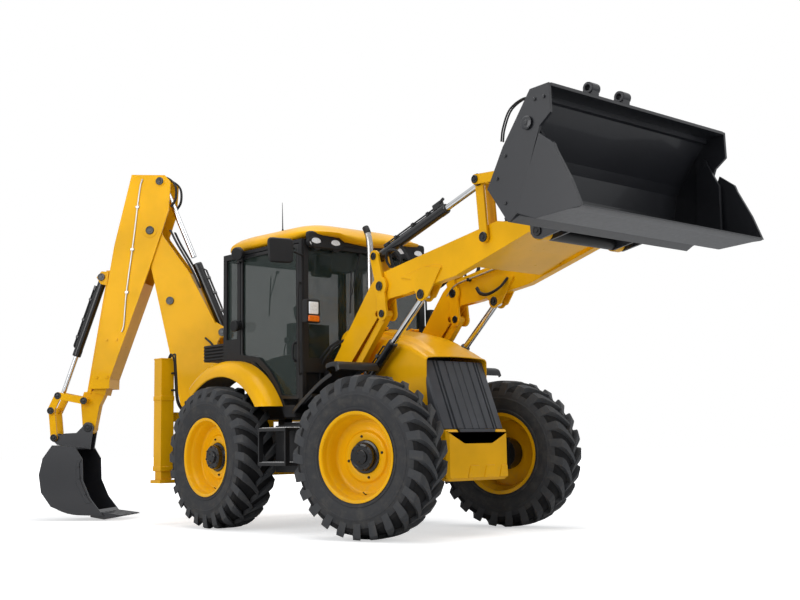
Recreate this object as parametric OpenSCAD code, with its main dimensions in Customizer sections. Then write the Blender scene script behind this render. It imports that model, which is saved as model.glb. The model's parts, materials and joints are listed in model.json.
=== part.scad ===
// Backhoe loader with equal wheels, steered at both axles.
// Front is +X, up is +Z, the machine's right side is -Y. Millimetres.

/* [Wheels and axles] */
// Distance between the two axles
wheelbase = 2220; // [2100:10:2400]
// Half of the distance between the wheels' centre planes
track_half = 955; // [940:5:990]
// Radius out to the tips of the tyre's lugs
tyre_r = 706; // [690:2:712]
// Width of a tyre
tyre_w = 440; // [400:5:445]
// Radius of the rim's bead seat
rim_r = 368; // [350:2:380]
// Distance of a steering pin from the centre plane
kingpin_y = 700; // [690:2:710]
// Angle that the front wheels stand steered at, to the left
front_steer = 14.5; // [0:0.5:16]

/* [Chassis] */
// Half of the width over the chassis rails
rail_half_w = 330; // [300:5:350]
// Height of the chassis rails' top
rail_top = 1000; // [960:5:1040]
// Depth of a chassis rail
rail_h = 170; // [140:5:190]
// Half of the width of the nose, between the loader arms
nose_half_w = 386; // [340:2:388]
// Height of the bonnet's top at its rear end
bonnet_top = 1925; // [1850:5:1950]

/* [Cab] */
// Half of the width over the cab's doors
cab_half_w = 800; // [760:5:840]
// Place of the cab's front face
cab_front = 1150; // [1100:5:1160]
// Place of the cab's rear face
cab_rear = -215; // [-225:5:-150]
// Height of the cab's floor
floor_z = 1080; // [1060:5:1110]
// Height of the roof's underside
head_z = 2790; // [2700:10:2850]
// Height of the roof's crown
roof_z = 3030; // [2960:5:3080]
// Thickness of a door
door_t = 42; // [35:1:50]
// Thickness of a pane of glass
pane_t = 6; // [5:1:10]

/* [Loader] */
// Inner face of a loader arm, from the centre plane
arm_in = 425; // [420:1:432]
// Outer face of a loader arm, from the centre plane
arm_out = 505; // [495:1:507]
// Gap between an arm and the plates beside it
plate_gap = 8; // [6:1:10]
// Thickness of the linkage's outer plates
outer_plate = 24; // [18:1:26]
// Thickness of the linkage's inner plates
inner_plate = 20; // [14:1:22]
// Radius of the loader's hinge pins
pin_r = 30; // [26:1:34]
// Width of the loader bucket
bucket_w = 2350; // [2300:10:2450]

/* [Backhoe] */
// Place of the slew axis, from the rear axle
slew_x = -1360; // [-1400:5:-1340]
// Angle that the backhoe stands turned to the right
slew = 42; // [0:1:60]
// Half of the boom's width
boom_half_w = 140; // [120:2:142]
// Half of the dipper's width
dipper_half_w = 166; // [160:1:172]
// Width of the digging bucket
hoe_bucket_w = 600; // [450:10:640]
// Radius of the backhoe's hinge pins
hoe_pin_r = 32; // [28:1:36]
// Top of a stabiliser's housing
leg_top = 1745; // [1650:5:1800]

/* [Hidden] */
$fn = 64;

// Place of the stored origin, from the rear axle's centre on the ground
origin_x = 890;
origin_y = -160;

yellow = [0.96, 0.72, 0.03];
black = [0.1, 0.1, 0.11];
rubber = [0.13, 0.13, 0.14];
chrome = [0.75, 0.76, 0.78];
charcoal = [0.2, 0.2, 0.22];
pane = [0.45, 0.55, 0.52, 0.5];

// Clearance of a turning pin in its bore, and of parts that move past each other
pin_play = 0.05;
rod_play = 0.4;
seat_gap = 0.3;
slip = 0.4;

axle_z = tyre_r;

// Loader pins, [x, z] at rest
arm_pin = [1250, 1450];
crank_pin = [1978, 2254];
crank_top = [1901, 2541];
crank_low = [2006, 1997];
lever_pin = [3320, 2523];
lever_top = [3277, 3019];
lift_base = [1330, 1050];
lift_top = [2515, 2125];
bucket_pin = [3920, 2490];
clam_pin = [4390, 3166];
link_root = arm_pin + crank_low - crank_pin;
// Rear face of the bumper, below the bonnet's front
nose_x = wheelbase + 220;
link_end = bucket_pin + lever_top - lever_pin;

// Sideways layers of the loader's linkage, [near, far] from the centre plane
arm_mid = (arm_in + arm_out) / 2;
in_plate = [arm_in - plate_gap - inner_plate, arm_in - plate_gap];
out_plate = [arm_out + plate_gap, arm_out + plate_gap + outer_plate];
eye_half = 28.6;

// Backhoe pins, [s, z] in the boom's plane, from the slew axis
boom_root = [310, 1000];
boom_ram_base = [80, 1125];
boom_ram_top = [640, 2490];
dipper_pin = [880, 3320];
dipper_ram_base = [20, 2110];
dipper_ram_top = [770, 3900];
hoe_ram_base = [1490, 2800];
lever_ram = [1970, 1420];
lever_root = [1656, 1356];
hitch_pin = [2021, 937];
hoe_pivot = [1624, 1044];
lever_end = lever_root + hitch_pin - hoe_pivot;
slide_dir = -76;

function turned(v, a) = [v[0] * cos(a) - v[1] * sin(a), v[0] * sin(a) + v[1] * cos(a)];
function angle_of(a, b) = atan2(b[1] - a[1], b[0] - a[0]);
function along(a, b, d) = a + d * (b - a) / norm(b - a);

// Shared helpers
module stored() translate([-origin_x, -origin_y, 0]) children();
module both() {
    children();
    mirror([0, 1, 0]) children();
}
// An outline in X and Z, from y0 to y1
module plate(y0, y1) translate([0, y1, 0]) rotate([90, 0, 0]) linear_extrude(y1 - y0) children();
module pin(p, r, y0, y1) translate([p[0], y0, p[1]]) rotate([-90, 0, 0]) cylinder(r = r, h = y1 - y0);
module dot(p, r) translate(p) circle(r);
module bar(a, b, w) translate(a) rotate(angle_of(a, b)) translate([0, -w / 2]) square([norm(b - a), w]);
// A link with round ends, a little wider than its middle
module strap(a, b, w) {
    bar(a, b, 0.96 * w);
    dot(a, w / 2);
    dot(b, w / 2);
}
// A strip of thickness t along a line of points
function normal_at(line, i) = let (a = line[max(i - 1, 0)], b = line[min(i + 1, len(line) - 1)]) [a[1] - b[1], b[0] - a[0]]
    / norm(b - a);
module strip(line, t) polygon(concat([for (i = [0:len(line) - 1]) line[i] + t / 2 * normal_at(line, i)],
    [for (i = [len(line) - 1:-1:0]) line[i] - t / 2 * normal_at(line, i)]));
module block(lo, hi) translate(lo) cube(hi - lo);
// A round bar from a to b in X and Z, at y
module rod_xz(a, b, y, r) translate([a[0], y, a[1]]) rotate([0, 90 - angle_of(a, b), 0]) cylinder(r = r, h = norm(b - a));
module hoe_frame() translate([slew_x, 0, 0]) rotate([0, 0, 180 + slew]) children();

// A cylinder's barrel: eye at a, pointing at b, gland at distance g
module ram_barrel(a, b, y, r, rod_r, g, eye_w, pr) {
    eye_r = r * 1.05;
    difference() {
        union() {
            pin(a, eye_r, y - eye_w / 2, y + eye_w / 2);
            rod_xz(along(a, b, eye_r * 0.6), along(a, b, g), y, r);
            rod_xz(along(a, b, g - 70), along(a, b, g), y, r * 1.05);
        }
        pin(a, pr + pin_play, y - eye_w, y + eye_w);
        rod_xz(along(a, b, eye_r + 25), along(a, b, g + 20), y, rod_r + rod_play);
    }
}
// A cylinder's rod: eye and its own pin at b, its inner end at distance s from a
module ram_rod(a, b, y, rod_r, s, eye_w, pr) {
    eye_r = pr * 1.5;
    pin(b, eye_r, y - eye_w / 2, y + eye_w / 2);
    rod_xz(along(a, b, s), along(a, b, norm(b - a) - eye_r * 0.8), y, rod_r);
}

// Chassis
module chassis() color(black) stored() {
    both() {
        block([-904, rail_half_w - 90, rail_top - rail_h], [nose_x, rail_half_w, rail_top]);
        for (x = [0, wheelbase]) block([x - 90, 210, axle_z + 78.5], [x + 90, rail_half_w - 1, rail_top - rail_h + 1]);
        // Loader tower
        for (y = [in_plate, out_plate]) tower_plate(y);
        block([1150, rail_half_w - 1, rail_top - rail_h + 20], [1470, out_plate[1], rail_top - 60]);
        for (p = [arm_pin, link_root, lift_base]) pin(p, pin_r, in_plate[0] + 1, out_plate[1] + 6);
    }
    for (x = [-900, 600, 1200]) block([x, -rail_half_w + 1, rail_top - 120], [x + 80, rail_half_w - 1, rail_top - 20]);
    // Cross members over the axles and nose plate
    for (x = [0, wheelbase]) block([x - 90, -rail_half_w + 1, rail_top - 120], [x + 90, rail_half_w - 1, rail_top - 20]);
    block([nose_x - 40, -rail_half_w, 700], [nose_x, rail_half_w, rail_top - 1]);
}
module tower_plate(y) plate(y[0], y[1]) {
    polygon([[1150, rail_top - rail_h + 20], [1470, rail_top - rail_h + 20], [1440, 1200], [1350, 1500], [1150, 1500]]);
    dot(arm_pin, 112);
}

// Rear frame with the housings of the two stabilisers
frame_x = [-1000, -930];
leg_x = [-1000, -850];
leg_y = [1005, 1155];
leg_wall = 12;
rail_z = [[480, 580], [1080, 1180]];
module rear_frame() color(yellow) stored() {
    for (z = rail_z) block([frame_x[0], -leg_y[0] - 1, z[0]], [frame_x[1], leg_y[0] + 1, z[1]]);
    both() {
        difference() {
            block([leg_x[0], leg_y[0], 560], [leg_x[1], leg_y[1], leg_top]);
            block([leg_x[0] + leg_wall, leg_y[0] + leg_wall, 500],
                [leg_x[1] - leg_wall, leg_y[1] - leg_wall, leg_top - leg_wall]);
        }
        block([frame_x[1] - 1, 240, rail_z[0][1] - 60], [-904 - seat_gap, 330, rail_z[1][0] + 60]);
        block([frame_x[0], 240, rail_z[0][1] - 1], [frame_x[1], 330, rail_z[1][0] + 1]);
    }
}

// Axle housings with the drive's middle and the ends that hold the kingpins
module axles() color(black) stored() for (x = [0, wheelbase]) translate([x, 0, axle_z]) {
    translate([-140, 0, 0]) rotate([0, 90, 0]) cylinder(r = 150, h = 280);
    rotate([90, 0, 0]) translate([0, 0, -640]) cylinder(r = 78, h = 1280);
    both() difference() {
        union() {
            translate([0, kingpin_y, -108]) cylinder(r = 58, h = 216);
            translate([-55, 600, -78]) cube([110, kingpin_y - 600, 156]);
        }
        translate([0, kingpin_y, -120]) cylinder(r = 24 + pin_play, h = 240);
    }
}

// Engine, gearbox and drive shafts
module engine_driveline() color([0.3, 0.31, 0.33]) stored() {
    block([1420, -215, 870], [wheelbase - 100, 215, 1640]);
    block([640, -180, 560], [1421, 180, 860]);
    block([1380, -180, 859], [1421, 180, 871]);
    for (e = [[140 + seat_gap, 640], [1400, wheelbase - 140 - seat_gap]])
        translate([e[0], 0, axle_z]) rotate([0, 90, 0]) cylinder(r = 38, h = e[1] - e[0]);
}

// Steered wheel ends. side is -1 for the right
function steer_of(front) = front ? front_steer : 0;
module wheel_place(front, side) translate([front ? wheelbase : 0, side * kingpin_y, axle_z])
    rotate([0, 0, steer_of(front)]) scale([1, side, 1]) children();
hub_y = track_half - kingpin_y;
module knuckle(front, side) color(black) stored() wheel_place(front, side) {
    difference() {
        union() {
            for (z = [-150, 114]) translate([-60, -58, z]) cube([120, 140, 36]);
            for (z = [-150, -20]) translate([0, 0, z + 36]) cylinder(r = 24, h = 98);
            translate([-100, 66, -150]) cube([200, 40, 300]);
            translate([0, 100, 0]) rotate([-90, 0, 0]) cylinder(r = 150, h = hub_y - 100);
        }
        translate([0, 60, 0]) rotate([-90, 0, 0]) cylinder(r = 60 + pin_play, h = hub_y);
    }
}
// Rim outline, [radius, outboard distance]; disc deep inside
rim_in = rim_r - seat_gap;
module rim(front, side) color(yellow) stored() wheel_place(front, side) translate([0, hub_y, 0]) rotate([-90, 0, 0]) {
    rotate_extrude($fn = 96) polygon([[rim_in, 190 + seat_gap], [rim_in + 24, 190 + seat_gap], [rim_in + 24, 200],
        [rim_in - 12, 200], [rim_in - 12, 140], [rim_in - 44, 110], [rim_in - 44, 28], [140, 28], [140, 12],
        [rim_in - 44, 12], [rim_in - 44, -110], [rim_in - 12, -140], [rim_in - 12, -200], [rim_in + 24, -200],
        [rim_in + 24, -190 - seat_gap], [rim_in, -190 - seat_gap], [rim_in, -136], [rim_in - 34, -104],
        [rim_in - 34, 104], [rim_in, 136]]);
    color(black) {
        translate([0, 0, -90]) cylinder(r = 60, h = 100);
        translate([0, 0, 9]) cylinder(r = 145, h = 40);
        translate([0, 0, 48]) cylinder(r = 118, h = 62);
        translate([0, 0, 109]) cylinder(r = 60, h = 20);
    }
}
// Tyre: carcass with a row of slanted lugs on each side
tread_r = tyre_r - 34;
lugs = 24;
lug_w = 50;
lug_lean = 38;
lug_end = (tyre_w / 2 - 16) / cos(lug_lean);
// Height of the lug's top at s along it, so that its far corner stays inside the tyre's radius
function lug_top(s) = sqrt(pow(tyre_r - 1, 2) - pow(s * sin(lug_lean) + lug_w / 2, 2));
module tyre(front, side) color(rubber) stored() wheel_place(front, side) translate([0, hub_y, 0]) rotate([-90, 0, 0]) {
    rotate_extrude($fn = 48) tyre_outline();
    for (way = [0, 1], i = [0:lugs - 1]) mirror([0, 0, way]) rotate([0, 0, (i + way / 2) * 360 / lugs]) lug();
}
module lug() rotate([lug_lean, 0, 0]) translate([0, lug_w / 2, 0]) rotate([90, 0, 0]) linear_extrude(lug_w) polygon(concat(
    [[tread_r - 16, -14]],
    [for (s = [-14, 55, 110, lug_end - 50]) [lug_top(abs(s)), s]],
    [[lug_top(lug_end) - 30, lug_end - 12], [rim_r + 236, lug_end], [rim_r + 226, lug_end - 30]]));
// Half outline of the tyre, [radius, distance from its middle]
tyre_half = [[rim_r, 186], [rim_r + 26, 190], [rim_r + 60, tyre_w / 2 - 12], [rim_r + 130, tyre_w / 2],
    [rim_r + 220, tyre_w / 2 - 4], [tread_r - 24, tyre_w / 2 - 22], [tread_r, tyre_w / 2 - 64]];
module tyre_outline() polygon(concat([for (p = tyre_half) [p[0], p[1]]],
    [for (i = [len(tyre_half) - 1:-1:0]) [tyre_half[i][0], -tyre_half[i][1]]]));

// Bumper weight across the nose, with three shallow recesses and a notch for the grille's tongue
bumper_z = [480, 930];
bumper_deep = 240;
module bumper() color(yellow) stored() difference() {
    plate(-nose_half_w, nose_half_w) polygon([[nose_x + seat_gap, bumper_z[0]], [nose_x + bumper_deep - 30, bumper_z[0]],
        [nose_x + bumper_deep, bumper_z[0] + 40], [nose_x + bumper_deep, bumper_z[1] - 25],
        [nose_x + bumper_deep - 20, bumper_z[1]], [nose_x + seat_gap, bumper_z[1]]]);
    for (i = [0:2]) translate([nose_x + bumper_deep - 8, 95 + i * 88, bumper_z[0] + 20]) cube([40, 66, 120]);
    notch(nose_x + 30, nose_x + bumper_deep + 20, 0);
}
// Form of the notch, and of the tongue in it when it is made smaller by gap
module notch(x0, x1, gap) translate([x0, 0, bumper_z[1]]) rotate([90, 0, 90]) linear_extrude(x1 - x0) polygon([[gap - 180, gap - 98],
    [180 - gap, gap - 98], [235 - gap, 6], [gap - 235, 6]]);
// Slanted grille that lifts with the bonnet
grille_tilt = 22;
grille_low = bumper_z[1] + 5;
nose_edge = [[nose_x - 42, 1575], [nose_x - 4, 1150]];
module grille() color(black) stored() {
    difference() {
        intersection() {
            translate([nose_x + 222, 0, grille_low]) rotate([0, -grille_tilt, 0]) translate([0, 0, -60]) linear_extrude(800) {
                polygon([[0, -300], [0, 300], [-46, nose_half_w], [-400, nose_half_w], [-400, -nose_half_w],
                    [-46, -nose_half_w]]);
                for (y = [-245, -225, -40, 120]) translate([-6, y]) square([14, 12]);
            }
            plate(-nose_half_w, nose_half_w) polygon([nose_edge[0] + [seat_gap, 0], [nose_x + 160, 1575],
                [nose_x + 360, grille_low], [nose_x + 5, grille_low], [nose_x + 5, 1150], nose_edge[1] + [seat_gap, 0]]);
        }
        plate(-nose_half_w + 14, nose_half_w - 14) polygon([[nose_x - 50, 1350], [nose_x - 30, 1350], [nose_x + 55, 1140],
            [nose_x + 135, grille_low + 5], [nose_x + 135, 900], [nose_x - 50, 900]]);
    }
    notch(nose_x + 150, nose_x + 206, 8);
}

// Bonnet: stations [x, height of the top, radius of the edges], fixed cowl behind it
bonnet_split = 1640;
hood_t = 8;
stations = [[1200, bonnet_top + 5, 140], [bonnet_split, bonnet_top - 20, 140], [wheelbase - 170, bonnet_top - 110, 110],
    [wheelbase + 70, bonnet_top - 220, 75], [nose_x - 40, bonnet_top - 335, 50], [nose_x - 4, bonnet_top - 420, 44]];
hood_hinge = [1642, bonnet_top - 9];
module hood_slab(x, top, half_w, low, r) translate([x, 0, 0]) rotate([90, 0, 90]) linear_extrude(1) union() {
    translate([-half_w, low]) square([2 * half_w, top - r - low]);
    translate([-half_w + r, low]) square([2 * (half_w - r), top - low]);
    for (s = [-1, 1]) translate([s * (half_w - r), top - r]) circle(r, $fn = 32);
}
module hood(list, half_w, low, drop) hull() for (s = list) hood_slab(s[0], s[1] - drop, half_w, low, s[2]);
module bonnet() color(yellow) stored() difference() {
    union() {
        hood([for (i = [1:5]) stations[i] + [4, 0, 0]], nose_half_w, 1150, 0);
        both() plate(170, 230) strap(hood_hinge, [1690, bonnet_top - 28], 18);
    }
    both() pin(hood_hinge, 6 + pin_play, 160, 240);
    hood([for (i = [1:5]) stations[i] - [i == 1 ? 20 : 4, 0, 0]], nose_half_w - hood_t, 1100, hood_t);
    // Room for the slanted grille
    plate(-600, 600) polygon([nose_edge[0], [nose_x + 360, 1575], [nose_x + 360, 1000], [nose_x + 10, 1000], nose_edge[1]]);
}
module cowl() color(yellow) stored() {
    // Bulkhead that stands on the rails
    block([1212, -nose_half_w + 22, rail_top + seat_gap], [1224, nose_half_w - 22, 1500]);
    cowl_shell();
}
module cowl_shell() difference() {
    union() {
        hood([stations[0], stations[1] - [4, 0, 0]], nose_half_w - 16, 1150, 0);
        both() {
            for (y = [150, 232]) plate(y, y + 18) strap([1600, bonnet_top - 20], hood_hinge, 18);
            pin(hood_hinge, 6, 150, 250);
        }
    }
    hood([stations[0] + [hood_t, 0, 0], stations[1] + [20, 0, 0]], nose_half_w - 16 - hood_t, 1100, hood_t);
    translate([exhaust_at[0], exhaust_at[1], 1500]) cylinder(r = 36, h = 800);
}
exhaust_at = [1550, -285];
module exhaust() color(chrome) stored() {
    translate([exhaust_at[0], exhaust_at[1], 1640]) cylinder(r = 32, h = 1090);
    translate([exhaust_at[0], exhaust_at[1], 2729]) rotate([0, -22, 0]) cylinder(r = 31, h = 130);
    translate([exhaust_at[0] - 60, exhaust_at[1] - 40, 1560]) cube([120, 110 - seat_gap, 90]);
}

// Side tanks with two steps each
step_x = [880, 1320];
module tank_steps() color(black) stored() both() {
    block([850, rail_half_w + seat_gap, 560], [1140, 561, 1000]);
    block([850, 560, 560], [1330, 900, 1000]);
    for (z = [627, 945]) block([step_x[0], 899, z], [step_x[1], 1130, z + 28]);
    for (x = [step_x[0] + 2, step_x[1] - 20]) block([x, 1080, 627], [x + 18, 1128, 973]);
    block([850, rail_half_w + seat_gap, 999], [1110, 800, 1030]);
}

// Rear fenders, arcs about the rear axle
fender_r = 900;
fender_in = 800;
arch_y = 504;
fender_y = [arch_y + seat_gap, 900];
module rear_fenders() color(yellow) stored() both() {
    plate(fender_y[0], fender_y[1]) difference() {
        union() {
            intersection() {
                translate([0, axle_z]) circle(fender_r, $fn = 128);
                translate([-400, 1190]) square([1200, 600]);
            }
            polygon([[-900, 1425], [-890, 1450], [-400, axle_z + 806], [-380, 1400]]);
        }
        translate([0, axle_z]) circle(fender_in, $fn = 128);
        polygon([[-910, 1400], [-600, 1390], [-395, 1430], [-395, 1000], [-910, 1000]]);
    }
}

// Front fenders behind the steered front wheels
fender_t = 26;
fender_line = [[1050, 1120], [1075, 1155], [1180, 1225], [1480, 1400], [1760, 1508], [1950, 1538], [2010, 1522], [2035, 1468]];
module front_fenders() color(black) stored() both() {
    plate(560, 850) strip(fender_line, fender_t);
    block([1215, out_plate[1] + seat_gap, 1225], [1330, 561, 1270]);
}

// Cab frame: floor, sills, pillars, header and the visor with its lamps
door_x = [100, 1090];
door_hinges = [2004, 2690];
hinge_y = cab_half_w + 16;
side_t = 46;
// Inner parts end here, clear of the doors
inner_y = cab_half_w - 50;
arch_x = 860;
module side_wall() plate(cab_half_w - side_t, cab_half_w) difference() {
    polygon([[cab_rear, 1650], [cab_rear, head_z], [cab_front - 10, head_z], [cab_front - 2, 1250],
        [1096, 1206], [1096, 1200], [1030, 1200], [1030, floor_z], [arch_x, floor_z], [800, 1190], [700, 1360],
        [560, 1520], [380, 1640], [150, 1650]]);
    door_outline(5);
    // Rear quarter window
    polygon([[cab_rear + 60, 1900], [cab_rear + 60, head_z - 60], [door_x[0] - 60, head_z - 60], [door_x[0] - 60, 1900]]);
}
module door_outline(grow) polygon([[door_x[0] - grow, 1740 - grow], [door_x[0] - grow, head_z - 40 + grow],
    [door_x[1] + grow, head_z - 40 + grow], [door_x[1] + grow, 1200 - grow], [870 - grow, 1200 - grow],
    [765 - grow, 1390 - grow], [620 - grow, 1550 - grow], [430 - grow, 1690 - grow]]);
module cab_frame() color(black) stored() {
    block([cab_rear + 1, -arch_y, floor_z], [cab_front - 40, arch_y, floor_z + 40]);
    block([arch_x + 1, -cab_half_w + 1, floor_z], [1030, cab_half_w - 1, floor_z + 40]);
    both() {
        side_wall();
        // Inner walls over the wheels
        block([cab_rear + 1, arch_y - 12, floor_z], [arch_x + 20, arch_y, 1650]);
        block([arch_x, arch_y - 1, floor_z], [arch_x + 20, cab_half_w - 45, floor_z + 90]);
    }
    // Front frame and lower bulkhead
    difference() {
        block([cab_front - 40, -cab_half_w + 20, 1500], [cab_front - 2, cab_half_w - 20, head_z]);
        block([cab_front - 60, -cab_half_w + 75, 1640], [cab_front + 20, cab_half_w - 75, head_z - 70]);
    }
    block([cab_front - 60, -inner_y, 1260], [cab_front - 39, inner_y, 1560]);
    block([cab_front - 60, -540, floor_z + 1], [cab_front - 39, 540, 1261]);
    both() {
        block([1010, 530, floor_z], [1030, inner_y, 1240]);
        block([1010, 530, floor_z], [cab_front - 39, 540, 1262]);
        block([1010, 530, 1238], [cab_front - 39, inner_y, 1262]);
        cover();
    }
    // Rear frame and lower wall
    difference() {
        union() {
            block([cab_rear + 2, -cab_half_w + 20, 1650], [cab_rear + 40, cab_half_w - 20, head_z]);
            block([cab_rear + 2, -arch_y, floor_z], [cab_rear + 40, arch_y, 1651]);
        }
        block([cab_rear - 20, -cab_half_w + 75, 1700], [cab_rear + 60, cab_half_w - 75, head_z - 70]);
    }
    // Mounting blocks under the floor
    for (x = [100, 900]) both() block([x, rail_half_w - 90, rail_top + 0.5], [x + 120, rail_half_w, floor_z + 1]);
    // Hinge lugs with the pins that carry the doors
    both() for (z = door_hinges) {
        for (dz = [-14, 62]) {
            block([door_x[0] - 50, cab_half_w - 2, z + dz], [door_x[0], hinge_y + 8, z + dz + 12]);
            translate([door_x[0], hinge_y, z + dz]) cylinder(r = 12, h = 12);
        }
        translate([door_x[0], hinge_y, z - 10]) cylinder(r = 7, h = 80);
    }
    // Visor and lamps
    block([cab_front - 30, -690, head_z - 80], [cab_front + 30, 690, head_z]);
    for (y = [-650, -415, 415, 650]) translate([cab_front + 20, y, head_z - 54]) rotate([0, 90, 0]) cylinder(r = 54, h = 24);
}
// Slatted cover beside the cab's rear, over the wheel
cover_x = [-600, cab_rear + 3];
cover_z = [1698, 1872];
module cover() difference() {
    block([cover_x[0], 560, cover_z[0]], [cover_x[1], cab_half_w - 12, cover_z[1]]);
    for (z = [cover_z[0] + 24:34:cover_z[1] - 30]) block([cover_x[0] + 24, cab_half_w - 20, z], [cover_x[1] - 24, cab_half_w, z + 16]);
}
// Roof with a crown
module cab_roof() color(yellow) stored() hull() {
    for (x = [cab_rear - 50, cab_front + 60], y = [-720, 720])
        translate([x, y, head_z + seat_gap]) cylinder(r = 70, h = x < 0 ? 95 : 50, $fn = 32);
    for (x = [cab_rear + 220, cab_front - 180], y = [-480, 480])
        translate([x, y, roof_z - 60]) cylinder(r = 160, h = 60, $fn = 32);
}
module cab_glass() color(pane) stored() {
    g = seat_gap;
    block([cab_front - 24, -cab_half_w + 75 + g, 1640 + g], [cab_front - 24 + pane_t, cab_half_w - 75 - g, head_z - 80 - g]);
    block([cab_rear + 18, -cab_half_w + 75 + g, 1700 + g], [cab_rear + 18 + pane_t, cab_half_w - 75 - g, head_z - 70 - g]);
    both() plate(cab_half_w - 26, cab_half_w - 26 + pane_t) polygon([[cab_rear + 60 + g, 1900 + g],
        [cab_rear + 60 + g, head_z - 60 - g], [door_x[0] - 60 - g, head_z - 60 - g], [door_x[0] - 60 - g, 1900 + g]]);
}
module door_pane(grow) polygon([[door_x[0] + 50 - grow, 1790 - grow], [door_x[0] + 50 - grow, head_z - 90 + grow],
    [door_x[1] - 50 + grow, head_z - 90 + grow], [door_x[1] - 50 + grow, 1260 - grow], [900 - grow, 1260 - grow],
    [800 - grow, 1440 - grow], [655 - grow, 1600 - grow], [460 - grow, 1745 - grow]]);
module door(side) color(black) stored() scale([1, side, 1]) {
    plate(cab_half_w - door_t, cab_half_w - 1) difference() {
        door_outline(0);
        door_pane(0);
    }
    plate(cab_half_w - 24, cab_half_w - 24 + pane_t) door_pane(1);
    // Hinge knuckles and handle
    for (z = door_hinges) difference() {
        union() {
            translate([door_x[0], hinge_y, z]) cylinder(r = 14, h = 60);
            block([door_x[0], cab_half_w - 2, z], [door_x[0] + 60, hinge_y + 10, z + 60]);
        }
        translate([door_x[0], hinge_y, z - 5]) cylinder(r = 7 + pin_play, h = 70);
    }
    block([door_x[1] - 70, cab_half_w - 2, 1560], [door_x[1] - 20, cab_half_w + 30, 1680]);
}
// Seat, steering column and side console
module seat_controls() color([0.15, 0.15, 0.16]) stored() {
    block([240, -200, floor_z + 40], [620, 200, floor_z + 320]);
    block([200, -260, floor_z + 320], [720, 260, floor_z + 440]);
    block([130, -240, floor_z + 400], [240, 240, floor_z + 1000]);
    block([860, -70, floor_z + 40], [940, 70, floor_z + 560]);
    translate([880, 0, floor_z + 560]) rotate([0, -30, 0]) {
        translate([0, 0, -20]) cylinder(r = 24, h = 110);
        translate([0, 0, 80]) rotate_extrude($fn = 48) translate([185, 0]) circle(14, $fn = 12);
        translate([-190, -12, 76]) cube([380, 24, 14]);
    }
}

// Loader arms: the rear part rises from the tower, the front part is flatter
module arm_outline() difference() {
    union() {
        dot(arm_pin, 100);
        translate(arm_pin) rotate(angle_of(arm_pin, crank_pin)) polygon([[0, -97], [0, 97], [1000, 140], [1105, 120],
            [1150, -20], [1060, -150]]);
        polygon([[1900, 2340], [2006, 2385], [3450, 2643], [3820, 2575], [3960, 2540], [3900, 2440], [3805, 2500],
            [2938, 2240], [2300, 2150], [2075, 2130]]);
        dot(bucket_pin, 75);
    }
    dot(arm_pin, pin_r + pin_play);
    dot(bucket_pin, pin_r + pin_play);
    dot(lever_pin, pin_r + pin_play);
    dot(crank_pin, pin_r - 1);
}
module lift_lug() difference() {
    union() {
        polygon([[2380, 2300], [2560, 2368], [2774, 2332], [2600, 2095], [2560, 2085], [2480, 2100], [2400, 2200]]);
        dot(lift_top, 62);
    }
    dot(lift_top, pin_r + 6);
}
// Highest turn of the arms
lift_up = 23.3;
// Ways that the lift cylinder's eye drifts in its pocket at the lowest and the highest turn
eye_drifts = [[-14, 58], [-27, 54]];
deck_half = in_plate[0] - 6;
module loader_arms() color(yellow) stored() {
    both() {
        difference() {
            plate(arm_in, arm_out) arm_outline();
            // Channel that the levelling link folds into, and the pocket of the lift cylinder's eye
            plate(arm_mid - 34, arm_mid + 34) {
                translate(arm_pin) rotate(angle_of(arm_pin, crank_pin))
                    polygon([[-160, -62], [1000, -62], [1175, -150], [1175, -300], [-160, -300]]);
                translate(lift_top) circle(78);
                for (p = eye_drifts) strap(lift_top + p, lift_top + p + [-90, -82], 104);
            }
            // Slot that the bell crank's lower pin swings through
            plate(arm_in - 1, arm_out + 1)
                strap(crank_low, crank_pin + turned(crank_low - crank_pin, -lift_up), 56);
        }
        plate(arm_in - 14, arm_in) lift_lug();
        plate(arm_out, arm_out + 14) lift_lug();
        pin(crank_pin, pin_r, in_plate[0], out_plate[1] + 6);
        for (y = [[arm_in - 14, arm_mid - eye_half - 4], [arm_mid + eye_half + 4, arm_out + 20]])
            pin(lift_top, pin_r + 6, y[0], y[1]);
    }
    // Cross member below the tip: a deck between the bucket's ears, and the bar that carries it
    plate(-deck_half, deck_half) polygon([[3330, 2376], [3480, 2425], [3790, 2515], [3790, 2530],
        [3760, 2560], [3700, 2560], [3480, 2450], [3330, 2410]]);
    plate(-arm_in - 1, arm_in + 1) polygon([[3110, 2305], [3335, 2378], [3335, 2412], [3110, 2400]]);
}
module levelling_links() color(yellow) stored() both() plate(arm_mid - 30, arm_mid + 30) difference() {
    strap(link_root, crank_low, 76);
    dot(link_root, pin_r + pin_play);
    dot(crank_low, pin_r - 8 + pin_play);
}
module bell_cranks() color(yellow) stored() both() {
    for (y = [in_plate, out_plate]) plate(y[0], y[1]) difference() {
        union() {
            strap(crank_top, crank_pin, 115);
            strap(crank_pin, crank_low, 125);
            dot(crank_pin, 88);
        }
        dot(crank_pin, pin_r + pin_play);
    }
    pin(crank_low, pin_r - 8, in_plate[0], out_plate[1] + 6);
    pin(crank_top, pin_r - 4, in_plate[0], out_plate[1] + 6);
}
lift_bar = [44, 30, 1000];
tip_bar = [44, 28, 954];
module lift_barrels() color(black) stored() both() ram_barrel(lift_base, lift_top, arm_mid, lift_bar[0], lift_bar[1],
    lift_bar[2], 60, pin_r);
module lift_rods() color(chrome) stored() both() ram_rod(lift_base, lift_top, arm_mid, lift_bar[1], 780, 2 * eye_half,
    pin_r);
module tip_barrels() color(black) stored() both() ram_barrel(crank_top, lever_top, arm_mid, tip_bar[0], tip_bar[1],
    tip_bar[2], 60, pin_r - 4);
tip_eye_half = 40;
module tip_rods() color(chrome) stored() both() ram_rod(crank_top, lever_top, arm_mid, tip_bar[1], 510,
    2 * tip_eye_half, pin_r - 4);
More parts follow.
